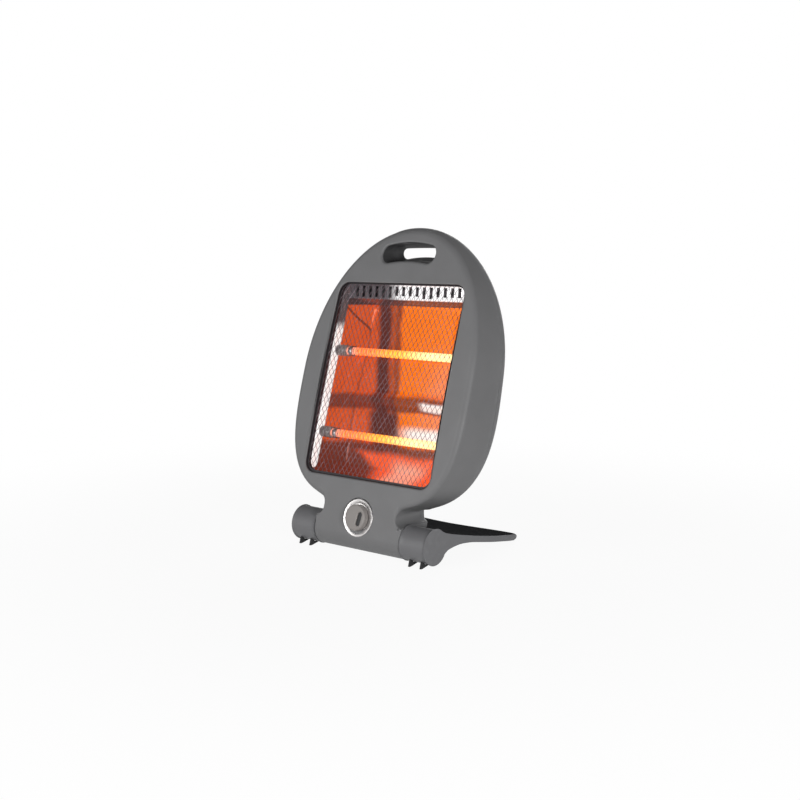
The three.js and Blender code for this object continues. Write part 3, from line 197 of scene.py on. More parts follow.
def pick(piece: Piece) -> None:
    """Selects one piece and makes it the active one."""
    clear()
    piece.select_set(True)
    bpy.context.view_layer.objects.active = piece


def put_ring(piece: Piece, ring: Sequence[Point], level: int, fresh: bool) -> None:
    """Moves the selected vertices in edit mode to the points of a ring.

    Args:
        piece: The piece in edit mode.
        ring: The ring's points.
        level: The ring's number, kept on its vertices.
        fresh: True for a new circle, whose vertices are still to be numbered.
    """
    shape = bmesh.from_edit_mesh(piece.data)
    turn = shape.verts.layers.int.get("turn") or shape.verts.layers.int.new("turn")
    storey = shape.verts.layers.int.get("storey") or shape.verts.layers.int.new("storey")
    chosen = [v for v in shape.verts if v.select]
    for i, vertex in enumerate(chosen):
        if fresh:
            vertex[turn] = i
        vertex[storey] = level
        vertex.co = ring[vertex[turn]]
    bmesh.update_edit_mesh(piece.data)


def choose(piece: Piece, *levels: int) -> None:
    """Selects rings of the piece in edit mode, by their numbers."""
    bpy.ops.mesh.select_all(action="DESELECT")
    shape = bmesh.from_edit_mesh(piece.data)
    storey = shape.verts.layers.int["storey"]
    for edge in shape.edges:
        level = edge.verts[0][storey]
        if level in levels and edge.verts[1][storey] == level:
            edge.select_set(True)
    bmesh.update_edit_mesh(piece.data)


def start(name: str, ring: Sequence[Point]) -> Piece:
    """Starts a piece as a circle whose vertices are placed on its first ring.

    Args:
        name: The piece's name.
        ring: The first ring, which gets the number 1.

    Returns:
        The new piece, left in edit mode with the ring selected.
    """
    clear()
    bpy.ops.mesh.primitive_circle_add(vertices=len(ring), radius=1, enter_editmode=True)
    piece = bpy.context.object
    piece.name = piece.data.name = name
    put_ring(piece, ring, 1, fresh=True)
    return piece


def draw_out(piece: Piece, rings: Sequence[Sequence[Point]], level: int) -> None:
    """Extrudes the selected ring onto each of the rings in turn; level numbers the first."""
    for i, ring in enumerate(rings):
        bpy.ops.mesh.extrude_region()
        put_ring(piece, ring, level + i, fresh=False)


def add_rings(piece: Piece, rings: Sequence[Sequence[Point]], level: int) -> int:
    """Adds a new circle to the piece in edit mode and draws it out, as the wall of a hole.

    Args:
        piece: The piece.
        rings: The hole's rings, from its foot up to the piece's surface.
        level: The first ring's number.

    Returns:
        The last ring's number.
    """
    bpy.ops.mesh.select_all(action="DESELECT")
    bpy.ops.mesh.primitive_circle_add(vertices=len(rings[0]), radius=1)
    put_ring(piece, rings[0], level, fresh=True)
    draw_out(piece, rings[1:], level + 1)
    return level + len(rings) - 1


def add_holes(piece: Piece, holes: Sequence[Sequence[Sequence[Point]]], level: int) -> list[int]:
    """Adds holes to the piece in edit mode, one after the other.

    Args:
        piece: The piece.
        holes: The rings of each hole, from its foot up to the piece's surface.
        level: The first new ring's number.

    Returns:
        The number of each hole's last ring.
    """
    edges = []
    for rings in holes:
        edges.append(add_rings(piece, rings, level))
        level = edges[-1] + 1
    return edges


def close_ring(piece: Piece, level: int) -> None:
    """Closes one ring of the piece with a face."""
    choose(piece, level)
    bpy.ops.mesh.edge_face_add()


def fill_between(piece: Piece, levels: Sequence[int], cuts: Sequence[float] = ()) -> None:
    """Fills the flat area between rings and divides it across, so that it can be bent.

    Args:
        piece: The piece in edit mode.
        levels: The rings that bound the area.
        cuts: The heights at which the area is divided.
    """
    bmesh.from_edit_mesh(piece.data).faces.layers.int.new("flat")
    choose(piece, *levels)
    bpy.ops.mesh.fill(use_beauty=True)
    shape = bmesh.from_edit_mesh(piece.data)
    flat = shape.faces.layers.int["flat"]
    for face in shape.faces:
        face[flat] = int(face.select)
    for cut in cuts:
        shape = bmesh.from_edit_mesh(piece.data)
        flat = shape.faces.layers.int["flat"]
        for face in shape.faces:
            face.select_set(False)
        for face in shape.faces:
            if face[flat]:
                face.select_set(True)
        bmesh.update_edit_mesh(piece.data)
        bpy.ops.mesh.bisect(plane_co=(0, 0, cut), plane_no=(0, 0, 1), threshold=1e-5)


def apply(piece: Piece, kind: str, **settings: object) -> None:
    """Adds a modifier with its settings and applies it."""
    pick(piece)
    modifier = piece.modifiers.new(kind.title(), kind)
    for key, value in settings.items():
        setattr(modifier, key, value)
    bpy.ops.object.modifier_apply(modifier=modifier.name)


def mend(piece: Piece, merge: float = MERGE) -> None:
    """Merges doubles and turns the faces outwards."""
    pick(piece)
    bpy.ops.object.mode_set(mode="EDIT")
    bpy.ops.mesh.select_all(action="SELECT")
    bpy.ops.mesh.remove_doubles(threshold=merge)
    bpy.ops.mesh.normals_make_consistent(inside=False)
    bpy.ops.object.mode_set(mode="OBJECT")


def join(name: str, pieces: Sequence[Piece]) -> Piece:
    """Joins pieces into the first one.

    Args:
        name: The name of the joined piece.
        pieces: The pieces.

    Returns:
        The joined piece.
    """
    pick(pieces[0])
    for piece in pieces[1:]:
        piece.select_set(True)
    bpy.ops.object.join()
    pieces[0].name = pieces[0].data.name = name
    return pieces[0]


def settle(piece: Piece, way: Settle, angle: float = SMOOTH) -> Piece:
    """Carries a piece from its own millimetres into the frame and smooths it.

    Args:
        piece: The piece.
        way: Gives each vertex its place from the hinge, in millimetres.
        angle: Edges sharper than this stay sharp.

    Returns:
        The same piece.
    """
    pick(piece)
    for vertex in piece.data.vertices:
        vertex.co = (Vector(way(vertex.co)) + HINGE) * MM
    piece.data.update()
    bpy.ops.object.shade_smooth_by_angle(angle=angle)
    clear()
    return piece


def as_is(p: Vector) -> Point:
    """Leaves a point where it is."""
    return (p.x, p.y, p.z)


def drawn(name: str, rings: Sequence[Sequence[Point]], closed: bool = True, merge: float = MERGE) -> Piece:
    """Draws a piece out of a circle, ring by ring.

    Args:
        name: The piece's name.
        rings: Its rings, from end to end.
        closed: True where both ends get a face, False where the last ring is the first again.
        merge: Vertices nearer than this become one.

    Returns:
        The piece.
    """
    piece = start(name, rings[0])
    draw_out(piece, rings[1:], 2)
    if closed:
        close_ring(piece, 1)
        close_ring(piece, len(rings))
    mend(piece, merge)
    return piece


def turned(name: str, profile: Sequence[Pair], sides: int = 64) -> Piece:
    """Draws a round piece out of a circle.

    Args:
        name: The piece's name.
        profile: Pairs of radius and height along Z; the ends are closed unless they meet.
        sides: Sides of the circle.

    Returns:
        The piece, round its own Z axis.
    """
    return drawn(name, [circle(*place, sides) for place in profile], profile[0] != profile[-1])


def wires(name: str, strands: Sequence[Sequence[Point]], radius: float, resolution: int) -> Piece:
    """Lays round wires along lines of points.

    Args:
        name: The piece's name.
        strands: The points of each wire.
        radius: The wires' radius.
        resolution: How finely they are rounded.

    Returns:
        All the wires as one mesh.
    """
    curve = bpy.data.curves.new(name, "CURVE")
    curve.dimensions = "3D"
    curve.bevel_depth = radius
    curve.bevel_resolution = resolution
    for points in strands:
        spline = curve.splines.new("POLY")
        spline.points.add(len(points) - 1)
        for knot, point in zip(spline.points, points):
            knot.co = (*point, 1)
    piece = bpy.data.objects.new(name, curve)
    bpy.context.scene.collection.objects.link(piece)
    pick(piece)
    bpy.ops.object.convert(target="MESH")
    return bpy.context.object


def dress(piece: Piece, material: bpy.types.Material, slot: Slot, body: Body, *nodes: str) -> Piece:
    """Gives a finished piece its material and its body, and hides the CAD nodes that it stands for.

    Args:
        piece: The piece.
        material: Its finish.
        slot: The record's slot of that finish; not used.
        body: The body that it rides on.
        nodes: The CAD nodes that it replaces.

    Returns:
        The same piece.
    """
    piece.data.materials.clear()
    piece.data.materials.append(material)
    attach(piece, body.value)
    if nodes:
        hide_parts(*nodes)
    log.info("%s: %d faces", piece.name, len(piece.data.polygons))
    return piece


# ---------------------------------------------------------------- finishes


def linear(colour: Colour) -> tuple[float, float, float, float]:
    """Returns a colour written in 0 to 255 as the renderer's linear values."""
    parts = [c / 255 for c in colour]
    values = [c / 12.92 if c <= 0.04045 else ((c + 0.055) / 1.055) ** 2.4 for c in parts]
    return (values[0], values[1], values[2], 1.0)


@dataclass
class Web:
    """A material's nodes, drawn up by short calls."""

    name: str
    material: bpy.types.Material = field(init=False)
    place: Socket = field(init=False)

    def __post_init__(self) -> None:
        """Starts the material with its output and its Object coordinates."""
        self.material = bpy.data.materials.new(self.name)
        self.material.use_nodes = True
        self.tree = self.material.node_tree
        self.tree.nodes.clear()
        self.output = self.tree.nodes.new("ShaderNodeOutputMaterial")
        self.shader = self.tree.nodes.new("ShaderNodeBsdfPrincipled")
        self.wire(self.shader.outputs[0], self.output.inputs[0])
        self.place = self.tree.nodes.new("ShaderNodeTexCoord").outputs["Object"]

    def wire(self, start_at: Socket, end_at: Socket) -> None:
        """Links two sockets."""
        self.tree.links.new(start_at, end_at)

    def sum(self, way: str, *values: "Socket | float") -> Socket:
        """Adds a Math node and returns its result."""
        node = self.tree.nodes.new("ShaderNodeMath")
        node.operation = way
        for slot, value in zip(node.inputs, values):
            if isinstance(value, (int, float)):
                slot.default_value = value
            else:
                self.wire(value, slot)
        return node.outputs[0]

    def times(self, *values: "Socket | float") -> Socket:
        """Multiplies two values."""
        return self.sum("MULTIPLY", *values)

    def plus(self, *values: "Socket | float") -> Socket:
        """Adds two values."""
        return self.sum("ADD", *values)

    def less(self, *values: "Socket | float") -> Socket:
        """Takes the second value from the first."""
        return self.sum("SUBTRACT", *values)

    def step(self, value: Socket, low: float, high: float, to_low: float = 0.0, to_high: float = 1.0) -> Socket:
        """Adds a smooth Map Range node and returns its result."""
        node = self.tree.nodes.new("ShaderNodeMapRange")
        node.interpolation_type = "SMOOTHSTEP"
        self.wire(value, node.inputs["Value"])
        for key, bound in zip(("From Min", "From Max", "To Min", "To Max"), (low, high, to_low, to_high)):
            node.inputs[key].default_value = bound
        return node.outputs[0]

    def noise(self, scale: float, detail: float = 3.0, stretch: Point = (1, 1, 1)) -> Socket:
        """Adds a noise pattern on the Object coordinates and returns its value."""
        mapping = self.tree.nodes.new("ShaderNodeMapping")
        mapping.inputs["Scale"].default_value = stretch
        self.wire(self.place, mapping.inputs["Vector"])
        node = self.tree.nodes.new("ShaderNodeTexNoise")
        node.inputs["Scale"].default_value = scale
        node.inputs["Detail"].default_value = detail
        self.wire(mapping.outputs[0], node.inputs["Vector"])
        return node.outputs["Fac"]

    def uneven(
        self, scale: float, detail: float = 3.0, low: float = 0.0, high: float = 1.0, stretch: Point = (1, 1, 1)
    ) -> Socket:
        """Adds a noise pattern whose middle part is eased to run from low to high."""
        return self.step(self.noise(scale, detail, stretch), 0.3, 0.7, low, high)

    def split(self, vector: Socket) -> bpy.types.bpy_prop_collection:
        """Returns the X, Y and Z of a vector."""
        node = self.tree.nodes.new("ShaderNodeSeparateXYZ")
        self.wire(vector, node.inputs[0])
        return node.outputs

    def surface(self, name: str) -> Socket:
        """Returns one of the Geometry node's results."""
        return self.tree.nodes.new("ShaderNodeNewGeometry").outputs[name]

    def blend(self, share: "Socket | float", first: "Socket | Colour", second: "Socket | Colour") -> Socket:
        """Adds a colour Mix node and returns its result."""
        node = self.tree.nodes.new("ShaderNodeMix")
        node.data_type = "RGBA"
        factor_and_colours = (node.inputs[0], node.inputs[6], node.inputs[7])
        for slot, value in zip(factor_and_colours, (share, first, second)):
            if isinstance(value, tuple):
                slot.default_value = linear(value)
            elif isinstance(value, (int, float)):
                slot.default_value = value
            else:
                self.wire(value, slot)
        return node.outputs[2]

    def bump(self, height: Socket, strength: float, distance: float = GRAIN) -> None:
        """Raises the surface by a pattern."""
        node = self.tree.nodes.new("ShaderNodeBump")
        node.inputs["Strength"].default_value = strength
        node.inputs["Distance"].default_value = distance
        self.wire(height, node.inputs["Height"])
        self.wire(node.outputs[0], self.shader.inputs["Normal"])

    def feed(self, **results: Socket) -> None:
        """Links results to the shader's own sockets; an underscore stands for a space."""
        for key, value in results.items():
            self.wire(value, self.shader.inputs[key.replace("_", " ")])

    def set(self, **values: float) -> None:
        """Sets plain values on the shader's own sockets; an underscore stands for a space."""
        for key, value in values.items():
            self.shader.inputs[key.replace("_", " ")].default_value = value


@dataclass(frozen=True)
class Moulded:
    """Moulded plastic or rubber: fine grain, slow mottling, and a little wear on its edges."""

    name: str
    colour: Colour
    roughness: float = 0.54
    grain: float = 1500.0
    depth: float = 0.12
    mottle: float = 0.015
    specular: float = 0.4
    ior: float = 1.5

    def make(self) -> bpy.types.Material:
        """Returns the material."""
        web = Web(self.name)
        low = tuple(c * (1 - self.mottle) for c in self.colour)
        high = tuple(min(255.0, c * (1 + self.mottle)) for c in self.colour)
        worn = tuple(min(255.0, c * 1.12 + 6) for c in self.colour)
        colour = web.blend(web.uneven(24.0, 2.0), low, high)
        edge = web.step(web.surface("Pointiness"), 0.53, 0.62)
        edge = web.times(edge, web.step(web.noise(160.0), 0.4, 0.7, 0.1, 0.5))
        web.feed(
            Base_Color=web.blend(edge, colour, worn),
            Roughness=web.uneven(90.0, 4.0, self.roughness - 0.015, self.roughness + 0.02),
        )
        web.bump(web.noise(self.grain, 2.0), self.depth)
        web.set(Specular_IOR_Level=self.specular, IOR=self.ior)
        return web.material


@dataclass(frozen=True)
class Metal:
    """Sheet, wire or fastener metal, unevenly rolled and a little tarnished."""

    name: str
    colour: Colour
    roughness: float = 0.25
    depth: float = 0.1
    tarnish: float = 0.12

    def make(self) -> bpy.types.Material:
        """Returns the material."""
        web = Web(self.name)
        dull = tuple(c * (1 - self.tarnish) for c in self.colour)
        web.feed(
            Base_Color=web.blend(web.step(web.noise(120.0, 4.0), 0.35, 0.7), self.colour, dull),
            Roughness=web.uneven(300.0, 3.0, self.roughness - 0.05, self.roughness + 0.1),
        )
        web.bump(web.noise(900.0, 2.0), self.depth)
        web.set(Metallic=1.0)
        return web.material


@dataclass(frozen=True)
class Fired:
    """Glazed ceramic, browned by heat in places."""

    name: str
    colour: Colour
    scorched: Colour

    def make(self) -> bpy.types.Material:
        """Returns the material."""
        web = Web(self.name)
        web.feed(
            Base_Color=web.blend(web.step(web.noise(140.0, 4.0), 0.42, 0.72), self.colour, self.scorched),
            Roughness=web.uneven(200.0, 3.0, 0.2, 0.42),
        )
        web.bump(web.noise(700.0), 0.1)
        web.set(Coat_Weight=0.3, Coat_Roughness=0.15)
        return web.material


class Ruler(Enum):
    """The measures by which the reflector is painted, in millimetres."""

    X = "across the heater, with a slow ripple"
    Z = "above the hinge, with the same ripple"
    HEIGHT = "above the hinge, without it"
    SLANT = "across, leaning with the height"
    FAN = "across, leaning like the left edge of the light under the lower tube"
    MITRE = "up, leaning like the fold in the upper left corner"
    SIDE = "from the middle to either side"


@dataclass(frozen=True)
class Edge:
    """A rise from 0 to 1 between two places or, with a soft width, a band from one to the other."""

    ruler: Ruler
    low: float
    high: float
    soft: float = 0.0

    def drawn_on(self, web: Web, at: dict[Ruler, Socket]) -> Socket:
        """Returns how far each place lies inside the edge."""
        value = at[self.ruler]
        if not self.soft:
            return web.step(value, self.low, self.high)
        rise = web.step(value, self.low - self.soft, self.low + self.soft)
        fall = web.step(value, self.high - self.soft, self.high + self.soft, 1.0, 0.0)
        return web.times(rise, fall)


@dataclass(frozen=True)
class Stroke:
    """A colour laid on inside one or two edges."""

    colour: Colour
    first: Edge
    second: Edge | None = None
    strength: float = 1.0

    def share(self, web: Web, at: dict[Ruler, Socket]) -> Socket:
        """Returns how strongly the stroke covers each place."""
        share = self.first.drawn_on(web, at)
        if self.second:
            share = web.times(share, self.second.drawn_on(web, at))
        return web.times(share, self.strength) if self.strength < 1 else share


@dataclass(frozen=True)
class GlowPaintedSheet:
    """Polished reflector sheet; the tubes' glow reflected in it, with its highlights and shade, is painted by
    place and emitted.
    """

    name: str = "reflector_painted_glow"
    strength: float = 0.85
    # the painted glow's own colour, where the tubes' light falls on the sheet
    red: Colour = (214, 82, 30)
    strokes: tuple[Stroke, ...] = (
        # painted reflections: orange to the right, and dark streaks beside the window's left side
        Stroke((255, 118, 0), Edge(Ruler.SLANT, -40, -4)),
        Stroke((88, 36, 30), Edge(Ruler.SLANT, -51, -31, 5)),
        Stroke((104, 34, 24), Edge(Ruler.SLANT, -25, -15, 4), strength=0.75),
        Stroke((120, 48, 30), Edge(Ruler.SLANT, -31, -25, 3), strength=0.5),
        # a painted rosy glow at the right, from the upper tube down
        Stroke((255, 140, 96), Edge(Ruler.X, 10, 75), Edge(Ruler.Z, 235, 165), 0.75),
        # painted shade along the fold across the middle, and a painted highlight at its end
        Stroke((88, 42, 36), Edge(Ruler.Z, 139, 157, 3), strength=0.8),
        Stroke((250, 240, 236), Edge(Ruler.Z, 142, 152, 2), Edge(Ruler.X, 30, 42)),
        # painted shade and a painted highlight behind the lower tube, and painted shade under it
        Stroke((86, 34, 28), Edge(Ruler.Z, 104, 138, 5), Edge(Ruler.SLANT, -58, -14, 8)),
        Stroke((252, 238, 232), Edge(Ruler.Z, 106, 121, 5), Edge(Ruler.X, -6, 30)),
        Stroke((92, 38, 30), Edge(Ruler.Z, 104, 96), strength=0.9),
        # the fan of light on the lower slope
        Stroke((248, 92, 44), Edge(Ruler.Z, 44, 88, 5), Edge(Ruler.FAN, -60, -36)),
        Stroke((255, 176, 150), Edge(Ruler.Z, 56, 80, 9), Edge(Ruler.X, 6, 52, 12), 0.8),
        # painted shade along the folds at the left and along the slotted slope's rim, with a painted highlight on
        # the rim
        Stroke((74, 40, 34), Edge(Ruler.MITRE, 259, 262.5, 0.8), Edge(Ruler.X, -95, -68, 1), 0.75),
        Stroke((84, 44, 36), Edge(Ruler.X, -71, -68.5, 0.8), Edge(Ruler.HEIGHT, 60, 234, 3), 0.45),
        Stroke((70, 50, 50), Edge(Ruler.HEIGHT, 263, 265)),
        Stroke((84, 80, 84), Edge(Ruler.HEIGHT, 271.5, 273)),
        Stroke((250, 249, 250), Edge(Ruler.HEIGHT, 271.5, 273), Edge(Ruler.X, -34, -2)),
    )
    # a painted highlight on the cheeks at either side, and painted shade above it
    cheek_highlight: Colour = (250, 246, 244)
    cheek_shade: Colour = (84, 78, 80)
    outside: Colour = (150, 150, 152)

    def measures(self, web: Web) -> dict[Ruler, Socket]:
        """Returns what each ruler reads."""
        across, _, up = web.split(web.place)
        ripple = web.times(web.less(web.noise(22.0, 2.0), 0.5), 9.0)
        straight = web.times(across, 1000.0)
        height = web.less(web.times(up, 1000.0), HINGE.z)
        x, z = web.plus(straight, ripple), web.plus(height, ripple)
        return {
            Ruler.X: x,
            Ruler.Z: z,
            Ruler.HEIGHT: height,
            Ruler.SLANT: web.plus(x, web.times(web.less(z, 205.0), 0.2)),
            Ruler.FAN: web.plus(x, web.times(web.less(z, 85.0), 1.9)),
            Ruler.MITRE: web.plus(height, web.times(web.plus(x, 94.0), 1.15)),
            Ruler.SIDE: web.sum("ABSOLUTE", straight),
        }

    def make(self) -> bpy.types.Material:
        """Returns the material."""
        web = Web(self.name)
        at = self.measures(web)
        # the painted glow, reflections, highlights and shade, laid on stroke by stroke
        glow = self.red
        for stroke in self.strokes:
            glow = web.blend(stroke.share(web, at), glow, stroke.colour)
        # the cheeks at either side get the painted highlight, with painted shade above it
        side = web.blend(web.step(at[Ruler.HEIGHT], 232, 246), self.cheek_highlight, self.cheek_shade)
        glow = web.blend(web.step(at[Ruler.SIDE], 94.0, 94.8), glow, side)
        back = web.step(web.split(web.surface("True Normal"))[1], 0.0, 0.1)
        # the painted light is emitted from the front faces; the back faces show the sheet's own colour
        web.feed(
            Base_Color=web.blend(back, web.blend(0.7, glow, (40, 34, 30)), self.outside),
            Emission_Color=web.blend(back, glow, (0, 0, 0)),
            Roughness=web.uneven(260.0, 3.0, 0.16, 0.3, (1, 1, 6)),
        )
        web.bump(web.noise(60.0, 3.0), 0.15, 0.0006)
        web.set(Metallic=0.7, Emission_Strength=self.strength)
        return web.material


@dataclass(frozen=True)
class GlowingTube:
    """Clear quartz lit from inside: orange at its left end, pale at its right."""

    name: str
    strength: float = 1.0
    alpha: float = 0.9
    turn_pitch: float = 0.0042

    def make(self) -> bpy.types.Material:
        """Returns the material."""
        web = Web(self.name)
        across = web.split(web.place)[0]
        x = web.times(across, 1000.0)
        glow = web.blend(web.step(x, -72, -58), (216, 132, 110), (255, 116, 34))
        glow = web.blend(web.step(x, -50, 10), glow, (255, 176, 40))
        glow = web.blend(web.step(x, 0, 60), glow, (255, 232, 168))
        turns = web.sum("SINE", web.times(across, 2 * math.pi / self.turn_pitch))
        glow = web.blend(web.step(turns, -0.4, 1.0, 0.0, 0.14), glow, (255, 250, 214))
        web.feed(Base_Color=glow, Emission_Color=glow, Roughness=web.uneven(200.0, 3.0, 0.05, 0.14))
        web.bump(web.noise(80.0), 0.05, 0.0004)
        web.set(Emission_Strength=self.strength, Alpha=self.alpha, Coat_Weight=0.6, Coat_Roughness=0.05)
        return web.material


@dataclass(frozen=True)
class HotWire:
    """A glowing filament with cooler spots."""

    name: str
    cool: Colour
    hot: Colour
    strength: float

    def make(self) -> bpy.types.Material:
        """Returns the material."""
        web = Web(self.name)
        glow = web.blend(web.step(web.noise(420.0), 0.35, 0.65), self.cool, self.hot)
        web.feed(Base_Color=glow, Emission_Color=glow, Roughness=web.uneven(900.0, 3.0, 0.3, 0.5))
        web.bump(web.noise(1500.0), 0.2, 0.0001)
        web.set(Emission_Strength=self.strength)
        return web.material


# ---------------------------------------------------------------- shared forms


@dataclass(frozen=True)
class HeadForm:
    """The curves that front shell, rear shell, guard and reflector share."""

    barrel: float = 20.0
    barrel_half: float = 65.8
    lean: float = math.radians(12.17)
    face_radius: float = 2200.0
    middle: float = 186.0
    half_width: float = 130.0
    up: float = 171.0
    down: float = 150.0
    up_power: float = 2.08
    down_power: float = 3.4
    side_draft: float = 1.5
    top_draft: float = 1.5
    bottom_draft: float = 8.5
    depth: float = 72.8
    back_radius: float = 790.0
    back_lean: float = math.radians(11.1)
    front_round: float = 7.0
    rear_round: float = 16.0
    setback: float = 2.0
    window_half: float = 97.0
    window_low: float = 64.6
    window_high: float = 292.9
    window_corner: float = 14.0
    slot_half: float = 41.0
    slot_low: float = 316.3
    slot_height: float = 25.0
    slot_end: float = 11.0
    slot_sag: float = 2.5
    slot_level: float = 327.0  # where the slot's depth is measured
    notch_x: float = 66.0
    notch_z: float = 29.0
    notch_radius: float = 10.3
    notch_corner: float = 2.4
    front_share: float = 0.965  # the share of the draft at the parting line
    wrap: float = 10.0  # over this length the face turns into the barrel
    neck_foot: float = 6.0
    neck_top: float = 20.0
    neck_in: float = 5.5  # the neck's parting line lies this much further forward at its foot

    def face_y(self, z: float) -> float:
        """Returns how far back the front face lies at a height."""
        reach = self.face_radius - self.barrel
        rise = z + reach * math.sin(self.lean)
        return reach * math.cos(self.lean) - math.sqrt(self.face_radius**2 - rise**2)

    def back_y(self, z: float) -> float:
        """Returns how far back the back lies at a height."""
        rise = z - self.middle - self.back_radius * math.sin(self.back_lean)
        centre = self.face_y(self.middle) + self.depth - self.back_radius * math.cos(self.back_lean)
        return centre + math.sqrt(self.back_radius**2 - rise**2)

    def seam_y(self, z: float) -> float:
        """Returns where the parting line lies at a height."""
        return self.back_y(z) - self.rear_round - self.setback

    def egg(self, angle: float, grow: float = 0.0) -> Pair:
        """Returns the point of the head's outline at an angle in radians."""
        power, along = (self.up_power, self.up) if math.sin(angle) > 0 else (self.down_power, self.down)
        sides = abs(math.cos(angle) / self.half_width) ** power + abs(math.sin(angle) / along) ** power
        radius = sides ** (-1 / power) + grow
        return (radius * math.cos(angle), self.middle + radius * math.sin(angle))

    def draft(self, angle: float) -> float:
        """Returns how much the outline has grown at the back, at an angle."""
        rise = math.sin(angle)
        other = self.top_draft if rise > 0 else self.bottom_draft
        return self.side_draft + (other - self.side_draft) * rise**2

    def window(self, grow: float, along: int = 1) -> list[Pair]:
        """Returns the window's outline, grown."""
        return rounded(
            self.window_half + grow,
            self.window_low - grow,
            self.window_high + grow,
            self.window_corner + grow,
            7,
            along,
        )

    def handle(self, grow: float, arch: float = 1.0) -> list[Pair]:
        """Returns the handle slot's outline, grown, with round ends and arched long sides.

        Args:
            grow: How far it is grown.
            arch: The share of the upper side's arch.

        Returns:
            The outline's points.
        """
        radius = self.slot_end + grow
        across = self.slot_half - self.slot_end
        level = self.slot_low + self.slot_end
        crown = (self.slot_height - 2 * self.slot_end) * arch
        points = arc(across, level, radius, -90, 90, 12)
        points += [(x, level + radius + crown * (1 - (x / across) ** 2)) for x in span(across, -across, 17)[1:-1]]
        points += arc(-across, level, radius, 90, 270, 12)
        sag = self.slot_sag
        points += [(x, level - radius + sag * (1 - (x / across) ** 2)) for x in span(-across, across, 17)[1:-1]]
        return points

    def slot_wall(self) -> tuple[float, float]:
        """Returns the depths from the face to the parting line and from there to the back, at the slot."""
        z = self.slot_level
        return self.seam_y(z) - self.face_y(z), self.back_y(z) - self.seam_y(z)

    def on_back(self, p: Vector) -> Point:
        """Lays a flat piece on the head's back: p.y is the height above its surface."""
        return (p.x, self.back_y(p.z) + p.y, p.z)

    def bend(self, p: Vector) -> Point:
        """Lays a flat face on the head's front: p.z runs up the face and on under the barrel, p.y is depth."""
        tangent = self.barrel * math.sin(self.lean)
        if p.z >= tangent:
            return (p.x, self.face_y(p.z) + p.y, p.z)
        turn = self.lean - (tangent - p.z) / (self.barrel * math.cos(self.lean))
        inward = turn - self.lean * (1 - ease(0, self.wrap, tangent - p.z))
        y = -self.barrel * math.cos(turn) + p.y * math.cos(inward)
        z = self.barrel * math.sin(turn) - p.y * math.sin(inward)
        return (p.x, y, z)


@dataclass(frozen=True)
class FacePlane:
    """A frame that stands on the front: x across, y up the face, z out of it."""

    lean: float
    y: float
    z: float

    def way(self, p: Vector) -> Point:
        """Returns a point of the frame, measured from the hinge."""
        up = Vector((0, math.sin(self.lean), math.cos(self.lean)))
        out = Vector((0, -math.cos(self.lean), math.sin(self.lean)))
        q = Vector((p.x, self.y, self.z)) + up * p.y + out * p.z
        return (q.x, q.y, q.z)


FORM = HeadForm()
KNOB_Z = 22.2
KNOB_PLANE = FacePlane(math.radians(12.65), FORM.face_y(KNOB_Z), KNOB_Z)
WINDOW_PLANE = FacePlane(math.radians(16.88), 29.05, 178.75)


# ---------------------------------------------------------------- head


